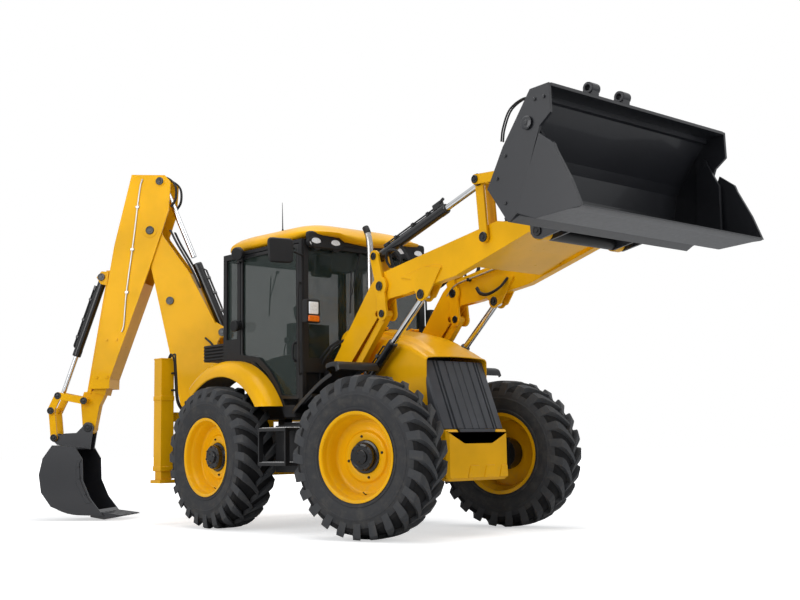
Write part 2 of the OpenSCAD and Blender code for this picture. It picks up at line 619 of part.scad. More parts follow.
// Pins beside the arms stop short of them, for the arms pass between them when the bucket is rolled back
pin_y = [arm_mid - tip_eye_half - 5, arm_mid + tip_eye_half + 5];
module lever_pins() color(black) stored() both() {
    pin(lever_pin, pin_r, in_plate[0] - 5, out_plate[1] + 6);
    pin(lever_pin, 56, in_plate[0] - 22, in_plate[0] - 4);
}
// The bucket's two hinge pins, joined by a bar across
module bucket_pins() color(black) stored() {
    both() pin(bucket_pin, pin_r, in_plate[0] - 5, out_plate[1] + 6);
    pin(bucket_pin, 65, 4 - in_plate[0], in_plate[0] - 4);
}
module tip_levers() color(yellow) stored() both() {
    plate(in_plate[0], in_plate[1]) difference() {
        strap(lever_pin, lever_top, 92);
        dot(lever_pin, pin_r + pin_play);
    }
    plate(out_plate[0], out_plate[1]) difference() {
        strap(lever_pin, lever_top, 92);
        dot(lever_pin, pin_r + pin_play);
        dot(lever_top, pin_r - 6 + pin_play);
    }
    pin(lever_top, pin_r - 6, in_plate[0], pin_y[0]);
}
// Pins at the levers' tops, which turn with the bucket's links
link_y = [558, 578];
module link_pins() color(black) stored() both() {
    pin(lever_top, pin_r - 6, pin_y[1], link_y[1] + 6);
    pin(lever_top, 52, out_plate[1] + 2, link_y[0] - 2);
}
module bucket_links() color(yellow) stored() both() plate(link_y[0], link_y[1]) difference() {
    strap(lever_top, link_end, 88);
    dot(lever_top, pin_r - 6 + pin_play);
    dot(link_end, pin_r - 6 + pin_play);
}

// Loader bucket: fixed back and the clam that opens in front of it
half_bucket = bucket_w / 2;
back_outline = [[4422, 3419], [4608, 3427], [4615, 3202], [4507, 3121], [4269, 2511], [4167, 2453], [3962, 2737],
    [4132, 3033]];
module ear_outline() difference() {
    union() {
        polygon([[3850, 2470], [3940, 2420], [4160, 2462], [4046, 2650], [4052, 2760], [4090, 2950], [4128, 3030],
            [4110, 3060], [3905, 3020], [3829, 2980], [3830, 2700]]);
        dot(bucket_pin, 66);
        dot(link_end, 50);
    }
    dot(bucket_pin, pin_r + pin_play);
}
module bucket_back() color(charcoal) stored() {
    both() {
        plate(half_bucket - 57, half_bucket - 32) difference() {
            polygon(back_outline);
            dot(clam_pin, 36);
        }
        pin(clam_pin, 35, half_bucket - 92, half_bucket - 20);
        for (y = [in_plate, out_plate]) plate(y[0], y[1]) ear_outline();
        pin(link_end, pin_r - 6, pin_y[1], link_y[1] + 6);
    }
    // Shell of the back, top beam and rear blade
    plate(-half_bucket + 56, half_bucket - 56) polygon([[4422, 3419], [4608, 3427], [4612, 3405], [4437, 3398],
        [4150, 3024], [4106, 2944], [4067, 2757], [4062, 2656], [4180, 2472], [4269, 2511], [4262, 2490], [4167, 2453],
        [4040, 2650], [4045, 2760], [4085, 2950], [4132, 3033]]);
    // Brackets for pallet forks
    for (y = [-600, -220]) translate([0, y, 0]) plate(-40, 40) difference() {
        union() {
            polygon([[4500, 3420], [4606, 3424], [4610, 3500], [4520, 3500]]);
            dot([4570, 3490], 46);
        }
        dot([4570, 3490], 25);
    }
}
module bucket_clam() color(charcoal) stored() {
    both() {
        plate(half_bucket - 25, half_bucket) polygon([[4526, 3059], [4667, 2957], [4690, 2900], [4818, 2667], [4907, 2457],
            [4470, 2431], [4280, 2501]]);
        plate(half_bucket - 90, half_bucket - 65) difference() {
            union() {
                polygon([[4340, 3170], [4445, 3180], [4560, 2960], [4560, 2470], [4300, 2520], [4330, 2800]]);
                dot(clam_pin, 60);
            }
            dot(clam_pin, 35 + pin_play);
        }
    }
    plate(-half_bucket + 24, half_bucket - 24) polygon([[4278, 2501], [4470, 2431], [4907, 2457], [4905, 2470], [4480, 2458],
        [4290, 2526]]);
}

// Stabiliser legs inside their housings
leg_gap = 0.5;
foot_z = [436, 470];
module stabiliser(side) color(yellow) stored() scale([1, side, 1]) {
    block([leg_x[0] + leg_wall + leg_gap, leg_y[0] + leg_wall + leg_gap, foot_z[0] + 1],
        [leg_x[1] - leg_wall - leg_gap, leg_y[1] - leg_wall - leg_gap, leg_top - 100]);
    block([leg_x[0] - 35, leg_y[0] - 60, foot_z[0]], [leg_x[1] + 20, leg_y[1] + 15, foot_z[1]]);
}

// Carriage on the rails, with the slew bearings' ears
module carriage() color(yellow) stored() {
    difference() {
        union() {
            block([frame_x[0] - 55, -330, 430], [frame_x[0] - slip, 330, 1230]);
            for (z = [430, 925]) {
                block([slew_x + 20, -120, z], [frame_x[0] - 50, 120, z + 70]);
                translate([slew_x, 0, z]) cylinder(r = 130, h = 70);
            }
        }
        translate([slew_x, 0, 400]) cylinder(r = 45 + pin_play, h = 700);
    }
    for (z = [rail_z[0][0] - 22 - slip, rail_z[1][1] + slip]) block([frame_x[0] - 20, -330, z], [frame_x[1] - 20, 330, z + 22]);
}
module kingpost() color(yellow) stored() hoe_frame() {
    translate([0, 0, 506]) cylinder(r = 105, h = 413);
    translate([0, 0, 425]) cylinder(r = 45, h = 575);
    block([40, -176, 520], [330, 176, 860]);
    for (y = [-206, 170]) plate(y, y + 36) {
        polygon([[150, 560], [330, 560], [400, 1000], [320, 1100], [60, 1190], [20, 1120], [60, 1060], [140, 1020]]);
        dot(boom_root, 92);
        dot(boom_ram_base, 66);
    }
    for (y = [[-214, -80], [80, 214]]) pin(boom_root, hoe_pin_r, y[0], y[1]);
    pin(boom_ram_base, hoe_pin_r, -214, 214);
}

// Boom: two side plates joined along the front and the upper back
boom_t = 16;
boom_back = [[140, 1080], [85, 1600], [80, 2170], [420, 2820], [730, 3250]];
boom_front = [[860, 2890], [620, 1850], [545, 1470], [470, 1080]];
module boom() color(yellow) stored() hoe_frame() {
    for (y = [-boom_half_w, boom_half_w - boom_t]) plate(y, y + boom_t) difference() {
        union() {
            polygon(concat(boom_back, [[800, 3420], [960, 3420], [1010, 3250]], boom_front));
            dot(dipper_pin, 130);
            dot(boom_root, 130);
            dot(dipper_ram_base, 62);
            polygon([[-20, 2160], [100, 2230], [100, 1960]]);
        }
        dot(boom_root, hoe_pin_r + pin_play);
    }
    plate(-boom_half_w + 1, boom_half_w - 1) {
        bar([866, 2900], [626, 1860], 16);
        bar([626, 1866], [551, 1480], 16);
        bar([88, 1800], [150, 2120], 16);
        bar([150, 2116], [150, 2204], 16);
        bar([150, 2200], [425, 2812], 16);
    }
    for (y = [[-boom_half_w - 10, -60], [60, boom_half_w + 10]]) pin(boom_ram_top, hoe_pin_r, y[0], y[1]);
    pin(dipper_ram_base, hoe_pin_r, -boom_half_w - 6, boom_half_w + 6);
    pin(dipper_pin, hoe_pin_r, -dipper_half_w - 8, dipper_half_w + 8);
}
boom_bar = [62, 36, 1060];
dipper_bar = [56, 32, 880];
hoe_bar = [48, 28, 960];
module boom_barrel() color(black) stored() hoe_frame() ram_barrel(boom_ram_base, boom_ram_top, 0, boom_bar[0], boom_bar[1],
    boom_bar[2], 110, hoe_pin_r);
module boom_rod() color(chrome) stored() hoe_frame() ram_rod(boom_ram_base, boom_ram_top, 0, boom_bar[1], 560,
    2 * (60 - slip), hoe_pin_r);
module dipper_barrel() color(black) stored() hoe_frame() ram_barrel(dipper_ram_base, dipper_ram_top, 0, dipper_bar[0],
    dipper_bar[1], dipper_bar[2], 110, hoe_pin_r);
module dipper_rod() color(chrome) stored() hoe_frame() ram_rod(dipper_ram_base, dipper_ram_top, 0, dipper_bar[1], 980,
    2 * (56 - slip), hoe_pin_r);

// Dipper: two side plates, closed along front and back below the boom's end
dipper_t = 18;
dipper_front = [dipper_ram_top + [340, 90], [1310, 3150], [1580, 1490]];
dipper_back = [[1345, 1490], [1340, 1600], [890, 2850], [750, 3270], [660, 3550], dipper_ram_top - [130, 10],
    dipper_ram_top + [-60, 70]];
module dipper() color(yellow) stored() hoe_frame() {
    for (y = [-dipper_half_w, dipper_half_w - dipper_t]) plate(y, y + dipper_t) difference() {
        polygon(concat(dipper_front, dipper_back));
        dot(dipper_pin, hoe_pin_r + pin_play);
    }
    for (y = [[-dipper_half_w - 6, -56], [56, dipper_half_w + 6]]) pin(dipper_ram_top, hoe_pin_r, y[0], y[1]);
    // Wear pads that guide the sliding part
    for (y = [-dipper_half_w + dipper_t - 1, 100 + slip], q = [-30, -900]) plate(y, y + dipper_half_w - dipper_t + 1 - 100 - slip)
        bar(slide_mid + (q - 60) * slide_u, slide_mid + q * slide_u, 120);
    plate(-dipper_half_w + 1, dipper_half_w - 1) {
        bar([1304, 3140], [1572, 1492], 14);
        bar(dipper_front[0] - [7, 10], dipper_front[1] - [7, 0], 14);
        bar([1349, 1492], [1349, 1600], 14);
        bar([1348, 1600], [950, 2705], 14);
    }
}
slide_u = [cos(slide_dir), sin(slide_dir)];
slide_n = [-slide_u[1], slide_u[0]];
slide_mid = [1462, 1550];
foot_half_w = 50;
module dipper_slide() color(yellow) stored() hoe_frame() {
    difference() {
        union() {
            plate(-100, 100) bar(slide_mid - 1200 * slide_u, slide_mid + 120 * slide_u, 150);
            plate(-foot_half_w, foot_half_w) polygon([[1410, 1480], [1690, 1460], [1725, 1340], [1696, 1040], [1550, 1040],
                [1500, 1300]]);
            // Rail along the dipper's front with the ram's bracket
            plate(-60, 60) polygon([[1392, 2880], [1440, 2880], [1440, 2740], [1650, 1440], [1602, 1440], [1392, 2740]]);
            for (y = [-80, 50]) plate(y, y + 30) polygon([[1402, 2860], [1490, 2870], [1550, 2800], [1500, 2720], [1420, 2700]]);
            pin(hoe_pivot, 72, -foot_half_w, foot_half_w);
            pin(lever_root, 60, -foot_half_w, foot_half_w);
        }
        plate(-45, 45) translate(hoe_ram_base) circle(75);
    }
    pin(hoe_ram_base, hoe_pin_r - 4, -90, 90);
    pin(lever_root, hoe_pin_r - 4, -146, 146);
    pin(hoe_pivot, hoe_pin_r, -86, 86);
}
module hoe_barrel() color(black) stored() hoe_frame() ram_barrel(hoe_ram_base, lever_ram, 0, hoe_bar[0], hoe_bar[1],
    hoe_bar[2], 80, hoe_pin_r - 4);
module hoe_rod() color(chrome) stored() hoe_frame() ram_rod(hoe_ram_base, lever_ram, 0, hoe_bar[1], 640,
    2 * (41 - slip), hoe_pin_r - 4);
module hoe_lever() color(yellow) stored() hoe_frame() {
    for (y = [-140, 112]) plate(y, y + 28) difference() {
        union() {
            strap(lever_root, lever_ram, 84);
            strap(lever_ram, lever_end, 84);
        }
        dot(lever_root, hoe_pin_r - 4 + pin_play);
    }
    for (y = [[-140, -41], [41, 140]], p = [lever_ram, lever_end]) pin(p, hoe_pin_r - 4, y[0], y[1]);
}
module hoe_link() color(yellow) stored() hoe_frame() for (y = [-106, 84]) plate(y, y + 22) difference() {
    strap(lever_end, hitch_pin, 80);
    dot(lever_end, hoe_pin_r - 4 + pin_play);
    dot(hitch_pin, hoe_pin_r - 4 + pin_play);
}
// Digging bucket: curved back, side plates, teeth and the hitch above it
hoe_back = [[1680, 820], [1960, 850], [2070, 700], [2110, 520], [2080, 320], [1960, 160], [1760, 80], [1340, 50]];
module hoe_bucket() color(charcoal) stored() hoe_frame() {
    hw = hoe_bucket_w / 2;
    difference() {
        plate(-hw, hw) polygon(concat(hoe_back, [[1500, 250], [1590, 450], [1600, 690]]));
        plate(-hw + 14, hw - 14) polygon([[1500, 66], [1756, 96], [1948, 174], [2064, 328], [2093, 520], [2055, 692],
            [1950, 832], [1690, 804], [1400, 804], [1400, 70]]);
    }
    for (i = [0:4]) translate([0, -hw + 20 + i * (hoe_bucket_w - 90) / 4, 0]) plate(0, 50) polygon([[1500, 66], [1480, 110],
        [1120, 60], [1120, 48], [1340, 12], [1500, 40]]);
    // Hitch plates and the pin of the link
    for (y = [-80, 56]) plate(y, y + 24) difference() {
        union() {
            polygon([[1600, 800], [1990, 855], [2070, 930], [1900, 985], [1760, 990], [1640, 1110], [1580, 1090], [1570, 1000]]);
            dot(hitch_pin, 50);
            dot(hoe_pivot, 66);
        }
        dot(hoe_pivot, hoe_pin_r + pin_play);
    }
    pin(hitch_pin, hoe_pin_r - 4, -112, 112);
}

chassis();
rear_frame();
axles();
engine_driveline();
bumper();
grille();
cowl();
tank_steps();
cab_frame();
cab_roof();
cab_glass();
rear_fenders();
front_fenders();
seat_controls();
exhaust();
bonnet();
door(-1);  // door_right
door(1);  // door_left
knuckle(true, -1);  // knuckle_front_right
knuckle(true, 1);  // knuckle_front_left
knuckle(false, -1);  // knuckle_rear_right
knuckle(false, 1);  // knuckle_rear_left
rim(true, -1);  // rim_front_right
rim(true, 1);  // rim_front_left
rim(false, -1);  // rim_rear_right
rim(false, 1);  // rim_rear_left
tyre(true, -1);  // tyre_front_right
tyre(true, 1);  // tyre_front_left
tyre(false, -1);  // tyre_rear_right
tyre(false, 1);  // tyre_rear_left
loader_arms();
levelling_links();
bell_cranks();
lift_barrels();
lift_rods();
tip_barrels();
tip_rods();
lever_pins();
tip_levers();
link_pins();
bucket_links();
bucket_pins();
bucket_back();
bucket_clam();
stabiliser(-1);  // stabiliser_right
stabiliser(1);  // stabiliser_left
carriage();
kingpost();
boom();
boom_barrel();
boom_rod();
dipper();
dipper_barrel();
dipper_rod();
dipper_slide();
hoe_barrel();
hoe_rod();
hoe_lever();
hoe_link();
hoe_bucket();
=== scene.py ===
"""Looks of the backhoe loader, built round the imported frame.

Metres, +X forward, +Z up, the machine's right side is -Y. Sizes and places are those of the part's
source, measured from the rear axle's middle on the ground, and Place.machine() moves them into the
stored frame.
"""

from __future__ import annotations

import json
import logging
import math
from dataclasses import dataclass, field
from enum import Enum
from typing import Any, Sequence

import bmesh
import bpy
import numpy as np
from mathutils import Matrix

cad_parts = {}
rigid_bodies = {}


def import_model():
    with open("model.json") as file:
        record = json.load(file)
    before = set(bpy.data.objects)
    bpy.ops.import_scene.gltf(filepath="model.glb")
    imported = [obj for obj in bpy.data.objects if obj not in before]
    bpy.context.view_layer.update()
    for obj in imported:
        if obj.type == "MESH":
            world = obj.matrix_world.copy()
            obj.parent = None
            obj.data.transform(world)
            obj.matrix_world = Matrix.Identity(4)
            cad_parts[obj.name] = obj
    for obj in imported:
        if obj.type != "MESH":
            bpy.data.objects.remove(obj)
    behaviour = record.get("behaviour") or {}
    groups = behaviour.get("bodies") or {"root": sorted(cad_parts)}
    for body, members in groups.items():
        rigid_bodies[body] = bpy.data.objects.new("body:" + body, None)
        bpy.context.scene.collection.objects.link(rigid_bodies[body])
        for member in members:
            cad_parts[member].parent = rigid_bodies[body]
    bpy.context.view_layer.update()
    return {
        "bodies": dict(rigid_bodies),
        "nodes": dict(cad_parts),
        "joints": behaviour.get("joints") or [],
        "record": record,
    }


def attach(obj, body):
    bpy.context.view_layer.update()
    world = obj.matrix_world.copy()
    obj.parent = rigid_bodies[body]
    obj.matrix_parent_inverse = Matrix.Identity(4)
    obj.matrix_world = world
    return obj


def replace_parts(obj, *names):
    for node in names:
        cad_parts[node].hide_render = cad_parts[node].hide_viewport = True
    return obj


log = logging.getLogger("backhoe_loader")
Rgb = tuple[float, float, float]
Pair = tuple[float, float]

REAR_AXLE = np.array([-0.890, 0.160, 0.0])  # the source's origin, in the stored frame
WHEELBASE = 2.22
AXLE_Z = 0.706
SLEW_X = -1.36
SLEW_TURN = math.radians(180 + 42)
KINGPIN_Y = 0.700
HUB_OUT = 0.255
FRONT_STEER = math.radians(14.5)


# ---------------------------------------------------------------- places and forms


@dataclass(frozen=True)
class Place:
    """A frame of three axes at an origin."""

    origin: np.ndarray
    axes: np.ndarray  # rows are the local x, y and z axes

    def of(self, points: Any) -> np.ndarray:
        """Puts local points into the stored frame: origin + x*ax + y*ay + z*az."""
        return self.origin + np.asarray(points, float) @ self.axes

    def inside(self, other: "Place") -> "Place":
        """This place, seen as a local place of another one."""
        return Place(other.of(self.origin), self.axes @ other.axes)

    @staticmethod
    def machine() -> "Place":
        """The source's own frame."""
        return Place(REAR_AXLE, np.eye(3))

    @staticmethod
    def hoe() -> "Place":
        """The backhoe's frame: x is the reach from the slew axis, y the sideways offset."""
        c, s = math.cos(SLEW_TURN), math.sin(SLEW_TURN)
        return Place(REAR_AXLE + [SLEW_X, 0, 0], np.array([[c, s, 0], [-s, c, 0], [0, 0, 1.0]]))

    @staticmethod
    def wheel(front: bool, side: int) -> "Place":
        """A wheel's frame: z points outboard along the spindle, from the wheel's middle plane.

        Args:
            front: whether it is a front wheel.
            side: 1 for left, -1 for right.

        Returns:
            The place.
        """
        a = FRONT_STEER if front else 0.0
        across = np.array([-math.sin(a), math.cos(a), 0.0]) * side
        ahead = np.array([math.cos(a), math.sin(a), 0.0])
        king = REAR_AXLE + [WHEELBASE if front else 0.0, side * KINGPIN_Y, AXLE_Z]
        return Place(king + across * HUB_OUT, np.array([ahead, [0, 0, 1.0], across]))

    @staticmethod
    def upright(x: float, y: float, z: float) -> "Place":
        """A local place at a point, with the axes of the frame round it."""
        return Place(np.array([x, y, z]), np.eye(3))

    @staticmethod
    def outward(x: float, y: float, z: float, way: int) -> "Place":
        """A local place on a side face, whose z axis points to the left for way 1 and to the right
        for -1."""
        return Place.facing((x, y, z), (0, way, 0))

    @staticmethod
    def facing(origin: Any, axis: Any) -> "Place":
        """A local place at origin whose z axis points along axis.

        Args:
            origin: the place's origin.
            axis: the direction of its z axis, of any length.

        Returns:
            The place.
        """
        z = np.asarray(axis, float) / np.linalg.norm(axis)
        help_axis = np.array([0, 0, 1.0]) if abs(z[2]) < 0.9 else np.array([1.0, 0, 0])
        x = np.cross(help_axis, z)
        x /= np.linalg.norm(x)
        return Place(np.asarray(origin, float), np.array([x, np.cross(z, x), z]))


@dataclass
class Form:
    """A surface: its points, and its faces as arrays of point numbers."""

    points: np.ndarray
    faces: list[np.ndarray]

    def put(self, place: Place) -> "Form":
        """The same surface at a place."""
        return Form(place.of(self.points), self.faces)

    def same(self) -> "Form":
        """The surface as it is, for the machine's right side."""
        return self


def join(forms: Sequence[Form]) -> Form:
    """Several surfaces as one.

    Args:
        forms: the surfaces, in order.

    Returns:
        One surface with all their points and faces.
    """
    starts = np.cumsum([0] + [len(f.points) for f in forms[:-1]])
    faces = [face + start for form, start in zip(forms, starts) for face in form.faces]
    return Form(np.vstack([f.points for f in forms]), faces)


def grid(points: np.ndarray, wrap_rows: bool = False, wrap_columns: bool = False,
         ends: bool = False) -> Form:
    """A surface over rows and columns of points; each quad joins a point to the next row and column.

    Args:
        points: an array of rows x columns x 3.
        wrap_rows: the last row joins the first.
        wrap_columns: the last column joins the first.
        ends: the first and last rows are closed by a face each.

    Returns:
        The surface.
    """
    rows, columns = points.shape[:2]
    i = np.arange(rows - (not wrap_rows))[:, None]
    j = np.arange(columns - (not wrap_columns))[None, :]
    i2, j2 = (i + 1) % rows, (j + 1) % columns
    corners = (i * columns + j, i2 * columns + j, i2 * columns + j2, i * columns + j2)
    quads = np.stack(np.broadcast_arrays(*corners), -1).reshape(-1, 4)
    ring = np.arange(columns)[None, :]
    faces = [quads] + ([ring, ring + (rows - 1) * columns] if ends else [])
    return Form(points.reshape(-1, 3), faces)


def turned(profile: Any, sides: int = 48, closed: bool = False) -> Form:
    """A profile of (radius, height) turned round the z axis: (r cos a, r sin a, h).

    Args:
        profile: the pairs of radius and height.
        sides: the number of steps round the axis.
        closed: the profile's last point joins its first.

    Returns:
        The surface.
    """
    r, h = np.asarray(profile, float).T
    a = np.linspace(0, 2 * math.pi, sides, endpoint=False)[:, None]
    points = np.stack([r * np.cos(a), r * np.sin(a), np.broadcast_to(h, (sides, len(h)))], -1)
    return grid(points, wrap_rows=True, wrap_columns=closed)


def drum(radius: float, low: float, high: float, edge: float = 0.003, sides: int = 32) -> Form:
    """A short cylinder with chamfered edges, from low to high along z."""
    return turned([(0, low), (radius - edge, low), (radius, low + edge), (radius, high - edge),
                   (radius - edge, high), (0, high)], sides)


def nut(radius: float, height: float) -> Form:
    """A hexagon head on a round washer, standing on z = 0.

    Args:
        radius: the hexagon's radius.
        height: the height over the washer's foot.

    Returns:
        The closed surface.
    """
    washer = turned([(0, 0), (radius * 1.35, 0), (radius * 1.35, height * 0.2), (0, height * 0.2)], 16)
    head = turned([(0, height * 0.2), (radius, height * 0.2), (radius, height * 0.9),
                   (radius * 0.85, height), (0, height)], 6)
    return join([washer, head])


def curve(points: Any, count: int = 32) -> np.ndarray:
    """A smooth line through points: on each span, the cubic that passes its ends with the chords'
    slopes.

    Args:
        points: the points that it passes.
        count: the number of points in the result.

    Returns:
        The line's points.
    """
    p = np.asarray(points, float)
    p = np.vstack([2 * p[0] - p[1], p, 2 * p[-1] - p[-2]])
    t = np.linspace(0, len(p) - 3 - 1e-9, count)
    i = t.astype(int)
    u = (t - i)[:, None]
    a, b, c, d = p[i], p[i + 1], p[i + 2], p[i + 3]
    return 0.5 * (2 * b + (c - a) * u + (2 * a - 5 * b + 4 * c - d) * u**2
                  + (3 * b - a - 3 * c + d) * u**3)


def tube(path: Any, radius: Any, sides: int = 12) -> Form:
    """A round bar along a path: each ring is centre + r (cos a * n + sin a * b), square to the path.

    Args:
        path: the points of the middle line.
        radius: one radius, or one for each point.
        sides: the number of steps round the bar.

    Returns:
        The closed surface.
    """
    path = np.asarray(path, float)
    along = np.gradient(path, axis=0)
    along /= np.linalg.norm(along, axis=1, keepdims=True)
    flat = np.linalg.svd(path - path.mean(0))[2][2]
    n = np.cross(along, flat)
    n /= np.linalg.norm(n, axis=1, keepdims=True)
    b = np.cross(along, n)
    a = np.linspace(0, 2 * math.pi, sides, endpoint=False)[None, :, None]
    r = np.broadcast_to(np.asarray(radius, float), (len(path),))[:, None, None]
    rings = path[:, None] + r * (np.cos(a) * n[:, None] + np.sin(a) * b[:, None])
    return grid(rings, wrap_columns=True, ends=True)


def power(value: np.ndarray, exponent: float) -> np.ndarray:
    """The signed power of a value."""
    return np.sign(value) * np.abs(value) ** exponent


def hose(points: Any, count: int, radius: float, sides: int = 10) -> Form:
    """A bent hose, pipe or bar: a round bar along the smooth line through points."""
    return tube(curve(points, count), radius, sides)


def bead(outline: np.ndarray, y: float, radius: float, sides: int) -> Form:
    """A round bead all round an outline in x and z, at depth y."""
    loop = np.column_stack([outline[:, 0], np.full(len(outline), y), outline[:, 1]])
    return tube(np.vstack([loop, loop[:1]]), radius, sides)


def disc(at: Pair, radius: float, low: float, high: float, sides: int = 28) -> Form:
    """A flat round plate about a point in x and z, between two depths.

    Args:
        at: the middle.
        radius: its radius.
        low: the lower depth.
        high: the upper depth.
        sides: the number of steps round it.

    Returns:
        The closed surface.
    """
    around = np.linspace(0, 2 * math.pi, sides, endpoint=False)
    outline = np.column_stack([at[0] + radius * np.cos(around), at[1] + radius * np.sin(around)])
    return slab(outline, low, high, Lay.SIDE, 0.002)


def inset(outline: np.ndarray, depth: float) -> np.ndarray:
    """An outline moved inwards by depth at each edge, with mitred corners.

    Args:
        outline: the corners, in either sense of turning.
        depth: how far inwards; outwards if negative.

    Returns:
        The new corners, as many as before.
    """
    ahead = np.roll(outline, -1, 0) - outline
    ahead /= np.linalg.norm(ahead, axis=1, keepdims=True) + 1e-12
    (x, y), (x2, y2) = outline.T, np.roll(outline, -1, 0).T
    area = np.sum(x * y2 - x2 * y)
    normal = np.stack([-ahead[:, 1], ahead[:, 0]], -1) * np.sign(area)
    before = np.roll(normal, 1, 0)
    lean = np.maximum(1 + np.sum(normal * before, 1, keepdims=True), 0.35)
    return outline + depth * (normal + before) / lean


def rounded(outline: Any, radius: float, steps: int = 4) -> np.ndarray:
    """An outline whose corners are arcs: each is the parabola between points at radius before and
    after it.

    Args:
        outline: the corners.
        radius: the distance from a corner at which its arc starts.
        steps: the points of each arc.

    Returns:
        The outline's points.
    """
    p = np.asarray(outline, float)
    back, ahead = np.roll(p, 1, 0) - p, np.roll(p, -1, 0) - p
    cut = [v * np.minimum(radius / (np.linalg.norm(v, axis=1, keepdims=True) + 1e-12),
                          0.45) for v in (back, ahead)]
    t = np.linspace(0, 1, steps)[None, :, None]
    return (p[:, None] + cut[0][:, None] * (1 - t) ** 2 + cut[1][:, None] * t**2).reshape(-1, 2)


class Lay(Enum):
    """The plane that an outline is drawn in."""

    SIDE = (0, 2, 1)  # outline in x and z, depth along y
    FACE = (1, 2, 0)  # outline in y and z, depth along x
    TOP = (0, 1, 2)  # outline in x and y, depth along z


def slab(outline: Any, low: float, high: float, lay: Lay = Lay.SIDE, edge: float = 0.003) -> Form:
    """A flat plate with chamfered edges: four rings of its outline, the outer two inset, and two
    end faces.

    Args:
        outline: the corners in the plane.
        low: the lower depth.
        high: the upper depth.
        lay: the plane.
        edge: the chamfer's width.

    Returns:
        The closed surface.
    """
    o = np.asarray(outline, float)
    edge = min(edge, 0.45 * (high - low))
    rings = [(inset(o, edge), low), (o, low + edge), (o, high - edge), (inset(o, edge), high)]
    points = np.zeros((4, len(o), 3))
    for row, (ring, depth) in enumerate(rings):
        points[row][:, lay.value[0]] = ring[:, 0]
        points[row][:, lay.value[1]] = ring[:, 1]
        points[row][:, lay.value[2]] = depth
    return grid(points, wrap_columns=True, ends=True)


def framed(outer: Any, inner: Any, low: float, high: float, lay: Lay = Lay.SIDE,
           edge: float = 0.003) -> Form:
    """A flat frame with a hole: rings of its outer and inner outlines, which have as many points as
    each other, joined all round, each edge chamfered.

    Args:
        outer: the outer outline.
        inner: the hole's outline.
        low: the lower depth.
        high: the upper depth.
        lay: the plane.
        edge: the chamfer's width.

    Returns:
        The closed surface.
    """
    o, i = np.asarray(outer, float), np.asarray(inner, float)
    rings = [(inset(o, edge), low), (o, low + edge), (o, high - edge), (inset(o, edge), high),
             (inset(i, -edge), high), (i, high - edge), (i, low + edge), (inset(i, -edge), low)]
    points = np.zeros((8, len(o), 3))
    for row, (ring, depth) in enumerate(rings):
        points[row][:, list(lay.value)] = np.column_stack([ring, np.full(len(ring), depth)])
    return grid(points, wrap_rows=True, wrap_columns=True)


def brick(low: Any, high: Any, edge: float = 0.004, round_by: float = 0.0) -> Form:
    """A box between two corners with chamfered edges, and round corners seen from above.

    Args:
        low: the lower corner.
        high: the upper corner.
        edge: the chamfer's width.
        round_by: the radius of the upright corners.

    Returns:
        The closed surface.
    """
    (x0, y0, z0), (x1, y1, z1) = low, high
    outline = np.array([(x0, y0), (x1, y0), (x1, y1), (x0, y1)])
    outline = rounded(outline, round_by, 5) if round_by else outline
    return slab(outline, z0, z1, Lay.TOP, edge)


def mirrored(form: Form) -> Form:
    """The form on the other side of the plane y = 0, in its own frame."""
    return Form(form.points * [1, -1, 1], form.faces)


def both_sides(forms: Sequence[Form]) -> list[Form]:
    """The forms and their mirror images."""
    return list(forms) + [mirrored(f) for f in forms]


# ---------------------------------------------------------------- shader graphs


class Value:
    """A shader number that is used in plain arithmetic; each operation adds its Math node."""

    def __init__(self, graph: "Graph", socket: Any) -> None:
        """Wraps an output socket of a graph."""
        self.graph, self.socket = graph, socket

    def _math(self, operation: str, first: Any, second: Any) -> "Value":
        """One Math node of two operands."""
        node = self.graph.node("Math", {"operation": operation}, {0: first, 1: second})
        return Value(self.graph, node.outputs[0])

    def __add__(self, other: Any) -> "Value":
        """self + other."""
        return self._math("ADD", self, other)

    def __radd__(self, other: Any) -> "Value":
        """other + self."""
        return self._math("ADD", other, self)

    def __sub__(self, other: Any) -> "Value":
        """self - other."""
        return self._math("SUBTRACT", self, other)

    def __rsub__(self, other: Any) -> "Value":
        """other - self."""
        return self._math("SUBTRACT", other, self)

    def __mul__(self, other: Any) -> "Value":
        """self * other."""
        return self._math("MULTIPLY", self, other)

    def __rmul__(self, other: Any) -> "Value":
        """other * self."""
        return self._math("MULTIPLY", other, self)

    def __truediv__(self, other: Any) -> "Value":
        """self / other."""
        return self._math("DIVIDE", self, other)

    def __pow__(self, other: Any) -> "Value":
        """self to the power of other."""
        return self._math("POWER", self, other)

    def step(self, low: float, high: float) -> "Value":
        """0 below low and 1 above high, smooth between them; low may be the larger one.

        Args:
            low: where it is 0.
            high: where it is 1.

        Returns:
            The share.
        """
        settings = {"interpolation_type": "SMOOTHSTEP"}
        inputs = {0: self, 1: min(low, high), 2: max(low, high)}
        node = self.graph.node("MapRange", settings, inputs)
        value = Value(self.graph, node.outputs[0])
        return value if low < high else 1 - value


